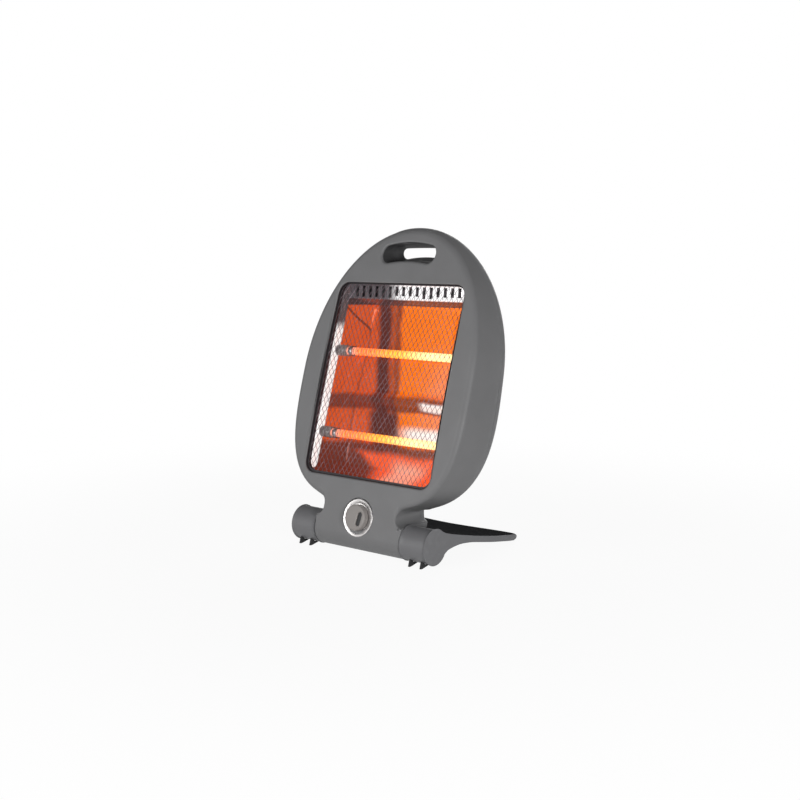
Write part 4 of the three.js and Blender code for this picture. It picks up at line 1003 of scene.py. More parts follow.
@dataclass
class FrontShell:
    """The front moulding: egg-shaped face, neck and the front of the barrel."""

    finish: bpy.types.Material
    # the dark liner's finish, which paints the shade inside the handle slot
    inside: bpy.types.Material
    form: HeadForm = FORM
    neck_round: float = 1.2
    lap: float = 1.0
    end: float = -40.0
    wrap_z: float = 4.2  # the face meets the barrel here
    shoulder: tuple[Pair, Pair] = ((62.5, 38.7), (75.0, 43.2))
    neck_seam: float = 31.0
    neck_wall: float = 19.0
    lip: float = 3.0
    window_soft: float = 1.4
    window_deep: float = 9.0
    slot_soft: float = 2.6
    well: float = 22.8
    well_depth: float = 2.6
    end_round: float = 1.2
    bolt_hole: float = 4.0

    def outline(self) -> list[Place]:
        """Returns the face's outline anticlockwise from the lower right."""
        form, half = self.form, self.form.barrel_half
        corner, low = form.notch_corner, form.notch_z - form.notch_radius
        side = (*span(self.end, self.wrap_z, 22), 8.0, 12.0, low - corner - 0.6)
        right = [(half, z, 0.0, STILL) for z in side]
        right += [(x, z, 0.0, STILL) for x, z in arc(half - corner, low - corner, corner, 10, 82, 5)]
        angles = span(258, 110, 18)
        notch = arc(form.notch_x, form.notch_z, form.notch_radius, angles[0], angles[-1], len(angles) - 1)
        right += [(x, z, ease(185, 105, a), self.growth(x, z)) for (x, z), a in zip(notch, angles)]
        shoulder = between(*self.shoulder, (0.35, 0.7))
        end_x, end_z = self.shoulder[1]
        first = math.degrees(math.atan2(end_z - form.middle, end_x))
        egg = [form.egg(math.radians(angle)) for angle in span(first, 90, 88)]
        right += [(x, z, 1.0, self.growth(x, z)) for x, z in shoulder + egg]
        left = [(-x, z, share, (-g[0], g[1])) for x, z, share, g in reversed(right[:-1])]
        base = [(x, self.end, 0.0, STILL) for x in span(-half, half, 12)[1:-1]]
        return right + left + base

    def growth(self, x: float, z: float) -> Pair:
        """Returns how the outline moves by its draft from front to back, at a point."""
        angle = math.atan2(z - self.form.middle, x)
        amount = self.form.draft(angle)
        return (amount * math.cos(angle), amount * math.sin(angle))

    def wall_end(self, x: float, z: float, share: float) -> float:
        """Returns the wall's depth where it meets the rear shell, or the barrel at its wrapped end."""
        if z <= self.end and abs(x) < self.form.barrel_half - 1:
            return self.lip
        form, foot = self.form, self.form.neck_foot
        neck = self.neck_seam - form.neck_in * ease(form.neck_top, foot, z)
        y = share * form.seam_y(z) + (1 - share) * neck
        if z < foot:
            return self.neck_wall + (y - form.face_y(foot) - self.neck_wall) * ease(2, foot, z)
        return y - form.face_y(z)

    def build(self) -> Piece:
        """Returns the shell, dressed."""
        form, edge = self.form, self.outline()
        flat = [(x, z) for x, z, _, _ in edge]
        radius = [self.neck_round + (form.front_round - self.neck_round) * share for _, _, share, _ in edge]
        ends = [self.wall_end(x, z, share) for x, z, share, _ in edge]
        rings = []
        for t in (1.0, 0.82, 0.62, 0.42, 0.22):
            ring = []
            for (x, z, share, (gx, gz)), r, far in zip(edge, radius, ends):
                grow = share * t * form.front_share
                ring.append((x + gx * grow, r + (far - r) * t, z + gz * grow))
            rings.append(ring)
        for inward, deep in fillet(8):
            inset = grown(flat, [-r * inward for r in radius])
            rings.append([(x, r * deep, z) for (x, z), r in zip(inset, radius)])
        rings.append([(x, 0.0, z) for x, z in grown(flat, [-r - self.lap for r in radius])])
        piece = start("front_shell_skin", rings[0])
        draw_out(piece, rings[1:], 2)
        window = self.hole(form.window, self.window_soft, self.window_deep)
        slot = self.hole(form.handle, self.slot_soft, form.slot_wall()[0])
        last = len(rings)
        holes = add_holes(piece, [window, slot, self.dial_well()], last + 1)
        bands = [*span(self.end + 1.2, self.wrap_z, 26), *span(11, 356, 52)]
        fill_between(piece, [last, *holes], bands)
        mend(piece)
        apply(piece, "SOLIDIFY", thickness=SHEET, offset=-1.0, use_even_offset=False)
        settle(piece, form.bend)
        barrel = self.barrel()
        # painted shade: the handle slot's dark liner
        dress(self.shade_liner(), self.inside, Slot.SHELL, Body.HEAD)
        return dress(join("front_shell_skin", [piece, barrel]), self.finish, Slot.SHELL, Body.HEAD, "front_shell")

    def hole(self, shape: Callable[[float], list[Pair]], soft: float, deep: float) -> list[list[Point]]:
        """Returns the rings of a hole with a soft edge and a straight wall.

        Args:
            shape: Gives the hole's outline, grown.
            soft: The radius of its edge.
            deep: The depth of its wall.

        Returns:
            The rings, from the wall's foot up to the face.
        """
        rings = [[(x, y, z) for x, z in shape(0)] for y in (deep, (deep + soft) / 2)]
        rings += [[(x, soft * down, z) for x, z in shape(soft * inward)] for inward, down in fillet(6)]
        return [*rings, [(x, 0.0, z) for x, z in shape(soft + 0.8)]]

    def dial_well(self) -> list[list[Point]]:
        """Returns the rings of the dial's round well, from its middle up to the face."""
        soft, deep = 0.5, self.well_depth
        steps = [(-16.8, deep), (-6, deep), (-0.4, deep), (0, deep - 0.4)]
        steps += [(soft * inward, soft * down) for inward, down in fillet(4)]
        steps.append((1.2, 0.0))
        return [[(x, y, z) for x, z in arc(0, KNOB_Z, self.well + grow, 0, 354, 59)] for grow, y in steps]

    def shade_liner(self) -> Piece:
        """Returns the dark liner of the handle slot, which paints the shade inside it."""
        far = self.form.slot_wall()[0] + 1.5
        rings = []
        for grow, y in ((-0.1, 3.0), (-0.4, 2.9), (-0.6, 3.2), (-0.6, far), (-0.1, far), (-0.1, 3.0)):
            rings.append([(x, y, z) for x, z in self.form.handle(grow)])
        return settle(drawn("handle_slot_shade_liner", rings, closed=False), self.form.bend)

    def barrel(self) -> Piece:
        """Returns the barrel under the face, with soft ends and a bore."""
        radius, half = self.form.barrel - 0.12, self.form.barrel_half - 0.1
        bore, wall = radius - 2.2, half - 2.2
        soft, hole = self.end_round, self.bolt_hole
        right = [(radius, half - soft)]
        right += [(radius - soft + x, half - soft + z) for x, z in arc(0, 0, soft, 15, 75, 3)]
        right += [(radius - soft, half), (hole, half), (hole, wall), (bore, wall)]
        left = [(r, -z) for r, z in reversed(right)]
        piece = turned("barrel", [*left, *right, left[0]], 96)
        return settle(piece, lambda p: (p.z, p.y, p.x))


@dataclass
class RearShell:
    """The rear moulding: rounded back with vent slots and screw wells, and the back of the neck."""

    finish: bpy.types.Material
    # the dark liner's finish, which paints the shade inside the handle slot
    inside: bpy.types.Material
    form: HeadForm = FORM
    gap: float = 0.3
    vent_levels: tuple[float, float] = (84.0, 240.0)
    vent_rows: int = 4
    vent_pitch: float = 11.0
    vent_half: float = 23.0
    vent_middle: float = 31.0
    screws: tuple[Pair, ...] = ((62, 302.9), (113.5, 160.0))
    low_screw: Pair = (80.0, 52.1)
    screw_well: float = 3.9
    gland_z: float = 58.0
    gland_radius: float = 6.0
    slot_soft: float = 2.0
    slot_taper: float = 4.0
    slot_arch: float = 0.2  # what is left of the slot's arch at the back
    neck_front: float = 31.3
    neck_back: float = 41.0
    neck_levels: tuple[float, ...] = (
        *(-14.0, -10, -7, -3, 0, 3, 6, 9, 12, 15, 16.5, 17.6, 18.4, 18.9),
        *(20, 21.5, 23.5, 26, 29, 32, 35, 38, 44, 50),
    )

    def build(self) -> Piece:
        """Returns the shell, dressed."""
        form, rear = self.form, self.form.rear_round
        angles = [math.radians(a) for a in span(0, 358, 180)]
        drafts = [form.draft(a) for a in angles]

        def ring(inset: float, share: float, lift: float) -> list[Point]:
            """Returns one ring of the back, lifted off the back's surface."""
            flat = [form.egg(a, d * share) for a, d in zip(angles, drafts)]
            return [(x, -lift, z) for x, z in grown(flat, [-inset] * len(flat))]

        rings = [ring(0, form.front_share, rear + form.setback - self.gap), ring(0, 1, rear)]
        rings += [ring(rear * inward, 1, rear * deep) for inward, deep in fillet(10)[1:]]
        rings.append(ring(rear + 0.5, 1, 0))
        piece = start("rear_shell_skin", rings[0])
        draw_out(piece, rings[1:], 2)
        last = len(rings)
        fill_between(piece, [last, *add_holes(piece, self.openings(), last + 1)], span(46, 340, 62))
        mend(piece)
        apply(piece, "SOLIDIFY", thickness=SHEET, offset=-1.0, use_even_offset=False)
        settle(piece, form.on_back)
        for side, _ in SIDES:
            self.drill(piece, side * self.low_screw[0], self.low_screw[1])
        # painted shade: the handle slot's dark liner behind the parting line
        dress(self.shade_liner(), self.inside, Slot.SHELL, Body.HEAD)
        neck = settle(drawn("neck_back", [self.neck_section(z) for z in self.neck_levels]), as_is)
        return dress(join("rear_shell_skin", [piece, neck]), self.finish, Slot.SHELL, Body.HEAD, "rear_shell")

    def shade_liner(self) -> Piece:
        """Returns the dark liner of the handle slot behind the parting line, which paints the shade inside it."""
        lift, soft, taper = self.gap - self.form.slot_wall()[1], -self.slot_soft, -self.slot_taper
        thin, thick = -0.1, -0.5
        steps = [(thin, 1.0, lift), (taper + thin, self.slot_arch, soft), (taper + thick, self.slot_arch, soft)]
        steps += [(thick, 1.0, lift), steps[0]]
        rings = [[(x, y, z) for x, z in self.form.handle(grow, arch)] for grow, arch, y in steps]
        return settle(drawn("handle_slot_shade_liner_rear", rings, closed=False), self.form.on_back)

    def drill(self, piece: Piece, x: float, z: float) -> None:
        """Cuts one screw well through the rounded edge of the settled shell."""
        deep = self.form.back_y(z) - 14
        profile = [(self.screw_well, deep), (self.screw_well, deep + 12), (self.screw_well + 0.4, deep + 30)]
        drill = settle(turned("drill", profile, 24), lambda p: (p.x + x, p.z, p.y + z))
        mend(drill, 1e-6)
        apply(piece, "BOOLEAN", operation="DIFFERENCE", object=drill, solver="EXACT")
        bpy.data.objects.remove(drill)
        clear()

    def openings(self) -> list[list[list[Point]]]:
        """Returns the rings of the slot, the vents, the upper screw wells and the cord's hole."""
        form, soft, arch = self.form, self.slot_soft, self.slot_arch
        lift = self.gap - form.slot_wall()[1]
        slot = [[(x, lift, z) for x, z in form.handle(0)]]
        for inward, deep in fillet(6):
            slot.append([(x, -soft * deep, z) for x, z in form.handle(soft * inward - self.slot_taper, arch)])
        slot.append([(x, 0.0, z) for x, z in form.handle(0.5 + soft - self.slot_taper, arch)])
        shapes = [slot]
        for low in self.vent_levels:
            for row in range(self.vent_rows):
                z = low + row * self.vent_pitch
                vent = rounded(self.vent_half, z - 2, z + 2, 1.9, 4)
                shapes += [self.sunk(vent, side * self.vent_middle, 0.7) for side, _ in SIDES]
        for x, z in self.screws:
            well = arc(0, z, self.screw_well, 0, 345, 23)
            shapes += [self.sunk(well, side * x, 9.0) for side, _ in SIDES]
        return [*shapes, self.sunk(arc(0, self.gland_z, self.gland_radius, 0, 345, 23), 0, 2.0)]

    def sunk(self, loop: Sequence[Pair], middle: float, deep: float) -> list[list[Point]]:
        """Returns the rings of a hole with a soft edge.

        Args:
            loop: The hole's outline.
            middle: Where its middle lies across.
            deep: How deep its wall goes.

        Returns:
            Four rings, from the hole's foot up to the back's surface.
        """
        steps = ((0.0, deep), (0.0, 0.5), (0.15, 0.15), (0.5, 0.0))
        return [[(x + middle, -down, z) for x, z in grown(loop, [wide] * len(loop))] for wide, down in steps]

    def neck_section(self, z: float) -> list[Point]:
        """Returns the neck's outline at a height: straight in front, with round corners behind."""
        form, half = self.form, self.form.barrel_half - 0.05
        corner, low = form.notch_corner, form.notch_z - form.notch_radius
        if low - corner < z < low:
            half -= corner * (1 - math.sqrt(1 - ((z - low + corner) / corner) ** 2))
        elif z >= low:
            off = min(form.notch_radius, abs(z - form.notch_z))
            half = form.notch_x - math.sqrt(form.notch_radius**2 - off**2)
        foot, inward = form.neck_foot, form.neck_in
        back = self.neck_back - inward + (z - foot) * inward / 20 if z >= foot else 14.1 + (z + 14.1) * 1.065
        front = self.neck_front - inward * ease(form.neck_top, foot, z) if z > 0 else 21.3
        back = min(back, self.neck_back)
        front = min(front, back - 3)
        deep = (back - front) * (0.9 if z < form.notch_z else 0.4)
        wide = 2.5 + (max(0.0, half - 56.5) if z < form.notch_z else 0.0)
        right = [(half, front, z)]
        right += [(half - wide + wide * x, back - deep + deep * y, z) for x, y in arc(0, 0, 1, 0, 90, 7)]
        return right + [(-x, y, z) for x, y, z in reversed(right)]


@dataclass
class Guard:
    """The diamond wire guard inside its rim, bent to follow the face."""

    finish: bpy.types.Material
    # the dark finish that paints the shade on the rim and the window's wall
    dark: bpy.types.Material
    form: HeadForm = FORM
    depth: float = 4.5
    wire: float = 0.3
    pitch: float = 7.0
    row: float = 11.0
    rim: float = 2.4
    part: float = 9.0

    def strand(self, x: float, way: int) -> list[Point]:
        """Returns the points of one wire, cut off inside the rim.

        Args:
            x: Where the wire crosses the window's middle.
            way: 1 for a wire that leans right, -1 for one that leans left.

        Returns:
            The points from its lower to its upper end.
        """
        form, slope = self.form, way * self.pitch / self.row
        middle = (form.window_low + form.window_high) / 2
        levels = span(form.window_low + 1, form.window_high - 1, 460)
        inside = [z for z in levels if self.holds(x + (z - middle) * slope, z)]
        if len(inside) < 4:
            return []
        low, high = inside[0], inside[-1]
        count = max(2, round((high - low) / self.part) + 1)
        offset = self.depth + way * self.wire * 0.8
        return [(x + (z - middle) * slope, form.face_y(z) + offset, z) for z in span(low, high, count)]

    def holds(self, x: float, z: float) -> bool:
        """Tells whether a point lies inside the rim."""
        form = self.form
        half, low, high = form.window_half - 1, form.window_low + 1, form.window_high - 1
        if abs(x) > half or not low < z < high:
            return False
        r = form.window_corner - 1
        dx = abs(x) - (half - r)
        dz = max(low + r - z, z - (high - r))
        return not (dx > 0 and dz > 0 and math.hypot(dx, dz) > r)

    def net(self) -> Piece:
        """Returns the wires as one mesh."""
        last = int((self.form.window_half + 120 * self.pitch / self.row) / self.pitch) + 1
        strands = [self.strand(i * self.pitch, way) for i in range(-last, last + 1) for way in (-1, 1)]
        return settle(wires("guard_net", [s for s in strands if s], self.wire, 1), as_is, WIRE_SMOOTH)

    def frame_ring(self) -> Piece:
        """Returns the rim with the dark collar that lines the window; both are dark to paint the shade on the
        window's wall.
        """
        low, high, outer, inner, rim = -3.1, 5.2, -0.12, -0.7, self.rim
        profile = [(outer, low), (-0.5, low - 0.1), (inner, low + 0.1), (inner, -0.6), (0.2 - rim, -0.6)]
        profile += [(-rim, -0.3), (-rim, 0.3), (0.2 - rim, 0.6), (inner, 0.6), (inner, high), (outer, high)]
        profile.append(profile[0])
        rings = [[(x, self.depth + lift, z) for x, z in self.form.window(grow, 24)] for grow, lift in profile]
        return settle(drawn("guard_rim", rings, closed=False), self.form.bend)

    def build(self) -> Piece:
        """Returns the guard, dressed."""
        # painted shade: the rim and collar in a dark finish
        dress(self.frame_ring(), self.dark, Slot.GUARD, Body.HEAD)
        return dress(self.net(), self.finish, Slot.GUARD, Body.HEAD, "grille")


# ---------------------------------------------------------------- reflector and tubes


@dataclass
class Reflector:
    """The polished tray behind the tubes, its slotted top slope, and the fold across it."""

    finish: bpy.types.Material
    form: HeadForm = FORM
    half_height: float = 119.3
    bend_depth: float = 17.0
    depth: float = 42.0
    slots: int = 16
    slot_width: float = 5.2
    ridge_level: float = -18.0
    ridge_end: float = 78.5
    flank: tuple[Pair, ...] = ((13, 0.0), (11, 0.3), (6, 5.0), (1, 9.4))
    crest: float = 9.9

    def ring(self, grow: float, side: Pair, low: float, top: Pair, reach: float) -> list[Point]:
        """Returns one ring of the tray, with vertices at both sides of every slot.

        Args:
            grow: How far the ring is grown.
            side: How far its sides have sloped in, and their depth behind the window plane.
            low: How far its lower edge has sloped in.
            top: How far its upper edge has come down, and that edge's depth.
            reach: Half the width over which the slots are spread.

        Returns:
            The ring's points.
        """
        half_x = self.form.window_half + grow - side[0]
        half_y = self.half_height + grow - low
        radius = self.form.window_corner + grow - min(side[0], low) * 0.3
        top_x, top_y = max(half_x, reach + radius + 1), self.half_height + grow - top[0]
        points: list[Point] = []
        for i, (x, y) in enumerate(arc(-radius, -radius, radius, 0, 90, 6)):
            share = ease(0, 6, i)
            corner_x = half_x + (top_x - half_x) * share
            points.append((corner_x + x, top_y + y, share * (side[1] - top[1]) - side[1]))
        corner = [(-x, y, z) for x, y, z in reversed(points)]
        for x in span(reach - 3, 3 - reach, self.slots):
            for edge in (0.5, -0.5):
                points.append((x + edge * self.slot_width, top_y, -top[1]))
        points += corner
        sides = [(half_x, y) for y in span(radius - half_y, half_y - radius - 2, 8)[1:-1]]
        flat = [(-x, y) for x, y in reversed(sides)]
        flat += arc(radius - half_x, radius - half_y, radius, 180, 270, 6)
        flat += [(x, -half_y) for x in span(radius - half_x, half_x - radius, 14)[1:-1]]
        flat += arc(half_x - radius, radius - half_y, radius, 270, 360, 6)
        flat += sides
        return points + [(x, y, -side[1]) for x, y in flat]

    def tray(self) -> Piece:
        """Returns the tray with its slots cut."""
        rings = [
            self.ring(3.0, (0, 10.0), 0, (0, 10.0), 82),
            self.ring(0.4, (0, 10.0), 0, (0, 10.0), 82),
            self.ring(0, (0.1, 10.6), 0.1, (0.1, 10.6), 82),
            self.ring(0, (1, self.bend_depth), 1, (0.6, 12.0), 82),
        ]
        for t, down in ((0.06, 1.0), (0.5, 8.4), (0.84, 14.6), (0.97, 16.2)):
            side = (1 + 25 * t, self.bend_depth + 25 * t)
            rings.append(self.ring(0, side, 1 + 17 * t, (down, 12.4 + 3 * t), 82))
        rings.append(self.ring(0, (26, self.depth - 0.2), 18, (16.8, 18.0), 80))
        rings.append(self.ring(0, (29, self.depth), 20, (17.2, self.depth - 1.5), 59))
        rings.append(self.ring(0, (36, self.depth), 30, (24, self.depth), 50))
        piece = start("reflector", rings[0])
        draw_out(piece, rings[1:], 2)
        close_ring(piece, len(rings))
        bpy.ops.mesh.select_all(action="DESELECT")
        shape = bmesh.from_edit_mesh(piece.data)
        turn, storey = shape.verts.layers.int["turn"], shape.verts.layers.int["storey"]
        # the first of each slot's two vertices on a ring; seven of the corner come before them
        firsts = {7 + 2 * i for i in range(self.slots)}
        for face in shape.faces:
            turns = sorted({v[turn] for v in face.verts})
            storeys = sorted({v[storey] for v in face.verts})
            if turns[0] in firsts and turns == [turns[0], turns[0] + 1] and storeys in ([5, 6], [6, 7]):
                face.select_set(True)
        bmesh.update_edit_mesh(piece.data)
        bpy.ops.mesh.delete(type="FACE")
        bpy.ops.mesh.select_all(action="SELECT")
        bpy.ops.mesh.normals_make_consistent(inside=True)
        bpy.ops.object.mode_set(mode="OBJECT")
        apply(piece, "SOLIDIFY", thickness=0.9, offset=-1.0)
        return settle(piece, WINDOW_PLANE.way)

    def ridge(self) -> Piece:
        """Returns the fold that runs across the tray, cut to the slope of its sides."""
        level, base, end = self.ridge_level, 0.4 - self.depth, self.ridge_end
        foot = self.flank[0][0]
        profile = [(level - y, base + z) for y, z in self.flank]
        profile.append((level, base + self.crest))
        profile += [(level + y, base + z) for y, z in reversed(self.flank)]
        profile += [(level + foot, base - 0.2), (level - foot, base - 0.2)]
        rings = []
        for x in (-end, 0.6 - end, *span(-70, 70, 9), end - 0.6, end):
            reaches = [min(1.0, (end - 7 + (z - base) * 1.04) / end) for _, z in profile]
            rings.append([(x * reach, y, z) for reach, (y, z) in zip(reaches, profile)])
        return settle(drawn("reflector_fold", rings), WINDOW_PLANE.way)

    def build(self) -> None:
        """Builds and dresses tray and fold."""
        dress(self.tray(), self.finish, Slot.REFLECTOR, Body.HEAD, "reflector_tray")
        dress(self.ridge(), self.finish, Slot.REFLECTOR, Body.HEAD, "reflector_ridge")


@dataclass
class Tubes:
    """Two quartz tubes with wound filaments and ceramic end caps."""

    quartz: bpy.types.Material
    filament: bpy.types.Material
    ceramic: bpy.types.Material
    steel: bpy.types.Material
    levels: tuple[tuple[str, float], ...] = (("upper", 37.0), ("lower", -66.0))
    depth: float = 20.0
    radius: float = 4.9
    wall: float = 1.0
    half: float = 91.0
    coil: float = 2.6
    wire: float = 0.42
    pitch: float = 4.2
    inset: float = 12.0
    clip_at: float = -73.0

    def lay(self, level: float) -> Settle:
        """Returns the way from a piece round Z to its place along X in the window's frame."""
        return lambda p: WINDOW_PLANE.way(Vector((p.z, p.y + level, p.x - self.depth)))

    def tube(self, name: str, level: float) -> Piece:
        """Returns one clear tube with rounded ends."""
        r, inner, half, soft = self.radius, self.radius - self.wall, self.half, 0.3
        end = [(inner, soft), (inner + soft, 0.0), (r - soft, 0.0), (r, soft)]
        profile = [(x, z - half) for x, z in end]
        profile += [(r, z) for z in span(6 - half, half - 6, 9)]
        profile += [(x, half - z) for x, z in reversed(end)]
        return settle(turned(f"tube_{name}", [*profile, profile[0]], 40), self.lay(level))

    def winding(self, name: str, level: float) -> Piece:
        """Returns one wound filament with straight ends."""
        wound, steps = 2 * (self.half - self.inset), 10
        count = round(wound / self.pitch) * steps
        points = [(self.coil, 0.0, 1 - self.half)]
        for i in range(count + 1):
            turn = 2 * math.pi * i / steps
            points.append((self.coil * math.cos(turn), self.coil * math.sin(turn), wound * i / count - wound / 2))
        points.append((self.coil, 0.0, self.half - 1))
        return settle(wires(f"filament_{name}", [points], self.wire, 0), self.lay(level), WIRE_SMOOTH)

    def cap(self, name: str, side: int, level: float) -> Piece:
        """Returns one end cap: ringed barrel, flange and tapered tail."""
        first, flange = self.half - (self.inset if side < 0 else 4), 98.6
        profile = [(5.1, first + 6), (5.1, first + 0.6), (6.2, first), (6.7, first), (7.0, first + 0.5)]
        for x in (first + 4, first + 8.5):
            profile += [(7.0, x), (6.4, x + 0.5), (6.4, x + 1.3), (7.0, x + 1.8)]
        profile += [(7.0, flange), (8.3, flange), (8.6, flange + 0.4), (8.6, flange + 2.6), (8.2, flange + 3)]
        profile += [(6.0, flange + 3.1), (5.2, 108.4), (4.4, 109.0), (1.2, 109.0)]
        piece = turned(f"cap_{name}_{'left' if side < 0 else 'right'}", profile, 40)
        for vertex in piece.data.vertices:
            vertex.co.z *= side
        mend(piece)
        return settle(piece, self.lay(level))

    def clip(self, name: str, level: float) -> Piece:
        """Returns the steel clip round the tube, next to its left cap."""
        half = [(5.0, 2.5), (6.3, 2.5), (6.6, 2.0), (6.6, 0.5)]
        profile = [(r, self.clip_at - x) for r, x in half] + [(6.1, self.clip_at)]
        profile += [(r, self.clip_at + x) for r, x in reversed(half)]
        return settle(turned(f"tube_clip_{name}_left", [*profile, profile[0]], 32), self.lay(level))

    def build(self) -> None:
        """Builds and dresses the tubes, filaments, caps and clips."""
        for name, level in self.levels:
            dress(self.tube(name, level), self.quartz, Slot.QUARTZ, Body.HEAD, f"quartz_tube_{name}")
            dress(self.winding(name, level), self.filament, Slot.FILAMENT, Body.HEAD, f"heating_coil_{name}")
            for side, hand in SIDES:
                cap = self.cap(name, side, level)
                dress(cap, self.ceramic, Slot.CERAMIC, Body.HEAD, f"ceramic_cap_{name}_{hand}")
                if side < 0:
                    dress(self.clip(name, level), self.steel, Slot.ZINC, Body.HEAD)


# ---------------------------------------------------------------- selector


@dataclass
class Selector:
    """The silver dial ring with its marks, and the knob with its sunk grip."""

    silver: bpy.types.Material
    grey: bpy.types.Material
    dark: bpy.types.Material
    knob_radius: float = 15.6
    reach: float = 5.6
    turn: float = math.radians(-10)
    shift: float = 6.3
    pocket_half: Pair = (3.0, 8.2)
    mark_angles: tuple[float, ...] = (90, 48, 6, -36, -90, 132)
    mark_radius: float = 19.4

    def ring(self) -> Piece:
        """Returns the bevelled ring."""
        profile = [(6.0, -2.3), (21.6, -2.3), (22.3, -1.6), (22.4, -0.4), (22.1, 0.15), (21.4, 0.45), (20.6, 0.4)]
        profile += [(18.0, -0.55), (17.2, -0.9), (16.9, -1.3), (6.0, -1.3), (6.0, -2.3)]
        return settle(turned("dial_ring", profile, 96), KNOB_PLANE.way, math.radians(25))

    def marks(self) -> Piece:
        """Returns the small round marks at the settings."""
        made = []
        for i, angle in enumerate(self.mark_angles):
            profile = [(0.28, 0.0), (0.55, 0.0), (0.62, 0.08), (0.5, 0.16), (0.28, 0.18)]
            mark = turned(f"mark_{i}", profile, 12)
            turn = math.radians(angle)
            at = Vector((self.mark_radius * math.cos(turn), self.mark_radius * math.sin(turn), -0.1))
            made.append(settle(mark, lambda p, at=at: KNOB_PLANE.way(p + at)))
        return join("dial_marks", made)

    def spun(self, p: Vector) -> Point:
        """Turns a point of the knob to its setting and carries it to the face."""
        cos, sin = math.cos(self.turn), math.sin(self.turn)
        return KNOB_PLANE.way(Vector((p.x * cos - p.y * sin, p.x * sin + p.y * cos, p.z)))

    def pocket(self, grow: float, height: float, radius: float, steps: int, along: int) -> list[Point]:
        """Returns the outline of the grip's pocket.

        Args:
            grow: How far it is grown.
            height: Its height over the dial.
            radius: The radius of its ends.
            steps: Parts of each corner.
            along: Parts of each straight side.

        Returns:
            The ring's points.
        """
        x, y = self.pocket_half
        loop = rounded(x + grow, -y - grow, y + grow, radius, steps, along)
        return [(x + self.shift, y, height) for x, y in loop]

    def knob(self) -> Piece:
        """Returns the knob: soft rim, shallow face and the grip's pocket."""
        top, base, radius, soft = self.reach, -0.9, self.knob_radius, 1.6
        outer = [(radius - soft, base), (radius - 0.3, base), (radius, base + 0.4), (radius - 0.3, top - soft)]
        for turn in map(math.radians, (22, 45, 68, 90)):
            outer.append((radius - 0.3 - soft + soft * math.cos(turn), top - soft + soft * math.sin(turn)))
        outer.append((radius - 3.2, top))
        rings = [circle(r, h, 72) for r, h in outer]
        piece = start("knob_cap", rings[0])
        draw_out(piece, rings[1:], 2)
        steps = [(-0.6, top - 2.0), (0.0, top - 1.8), (0.2, top - 0.4), (0.5, top - 0.1), (0.9, top), (1.5, top)]
        loops = [self.pocket(grow, h, 2.95 + grow, 8, 3) for grow, h in steps]
        add_rings(piece, loops[:1], 20)
        bpy.ops.mesh.edge_face_add()
        rim = add_rings(piece, loops[1:], 21)
        fill_between(piece, [len(rings), rim])
        close_ring(piece, 21)
        mend(piece)
        return settle(piece, self.spun, math.radians(28))

    def pocket_floor(self) -> Piece:
        """Returns the dark floor of the grip's pocket, which paints the shade in it."""
        steps = ((-0.4, 1.9), (-0.1, 1.4), (-0.3, 1.1), (-0.9, 1.0))
        loops = [self.pocket(grow, self.reach - down, max(1.2, 2.9 + grow), 6, 2) for grow, down in steps]
        return settle(drawn("grip_pocket_shade", loops), self.spun)

    def build(self) -> None:
        """Builds and dresses ring, marks, knob and the pocket's painted shade."""
        dress(self.ring(), self.silver, Slot.DIAL, Body.HEAD, "dial_ring")
        dress(self.marks(), self.dark, Slot.BLACK, Body.HEAD)
        dress(self.knob(), self.grey, Slot.KNOB, Body.SELECTOR, "knob")
        # painted shade: a dark floor in the grip's pocket
        dress(self.pocket_floor(), self.dark, Slot.BLACK, Body.SELECTOR)


# ---------------------------------------------------------------- foot


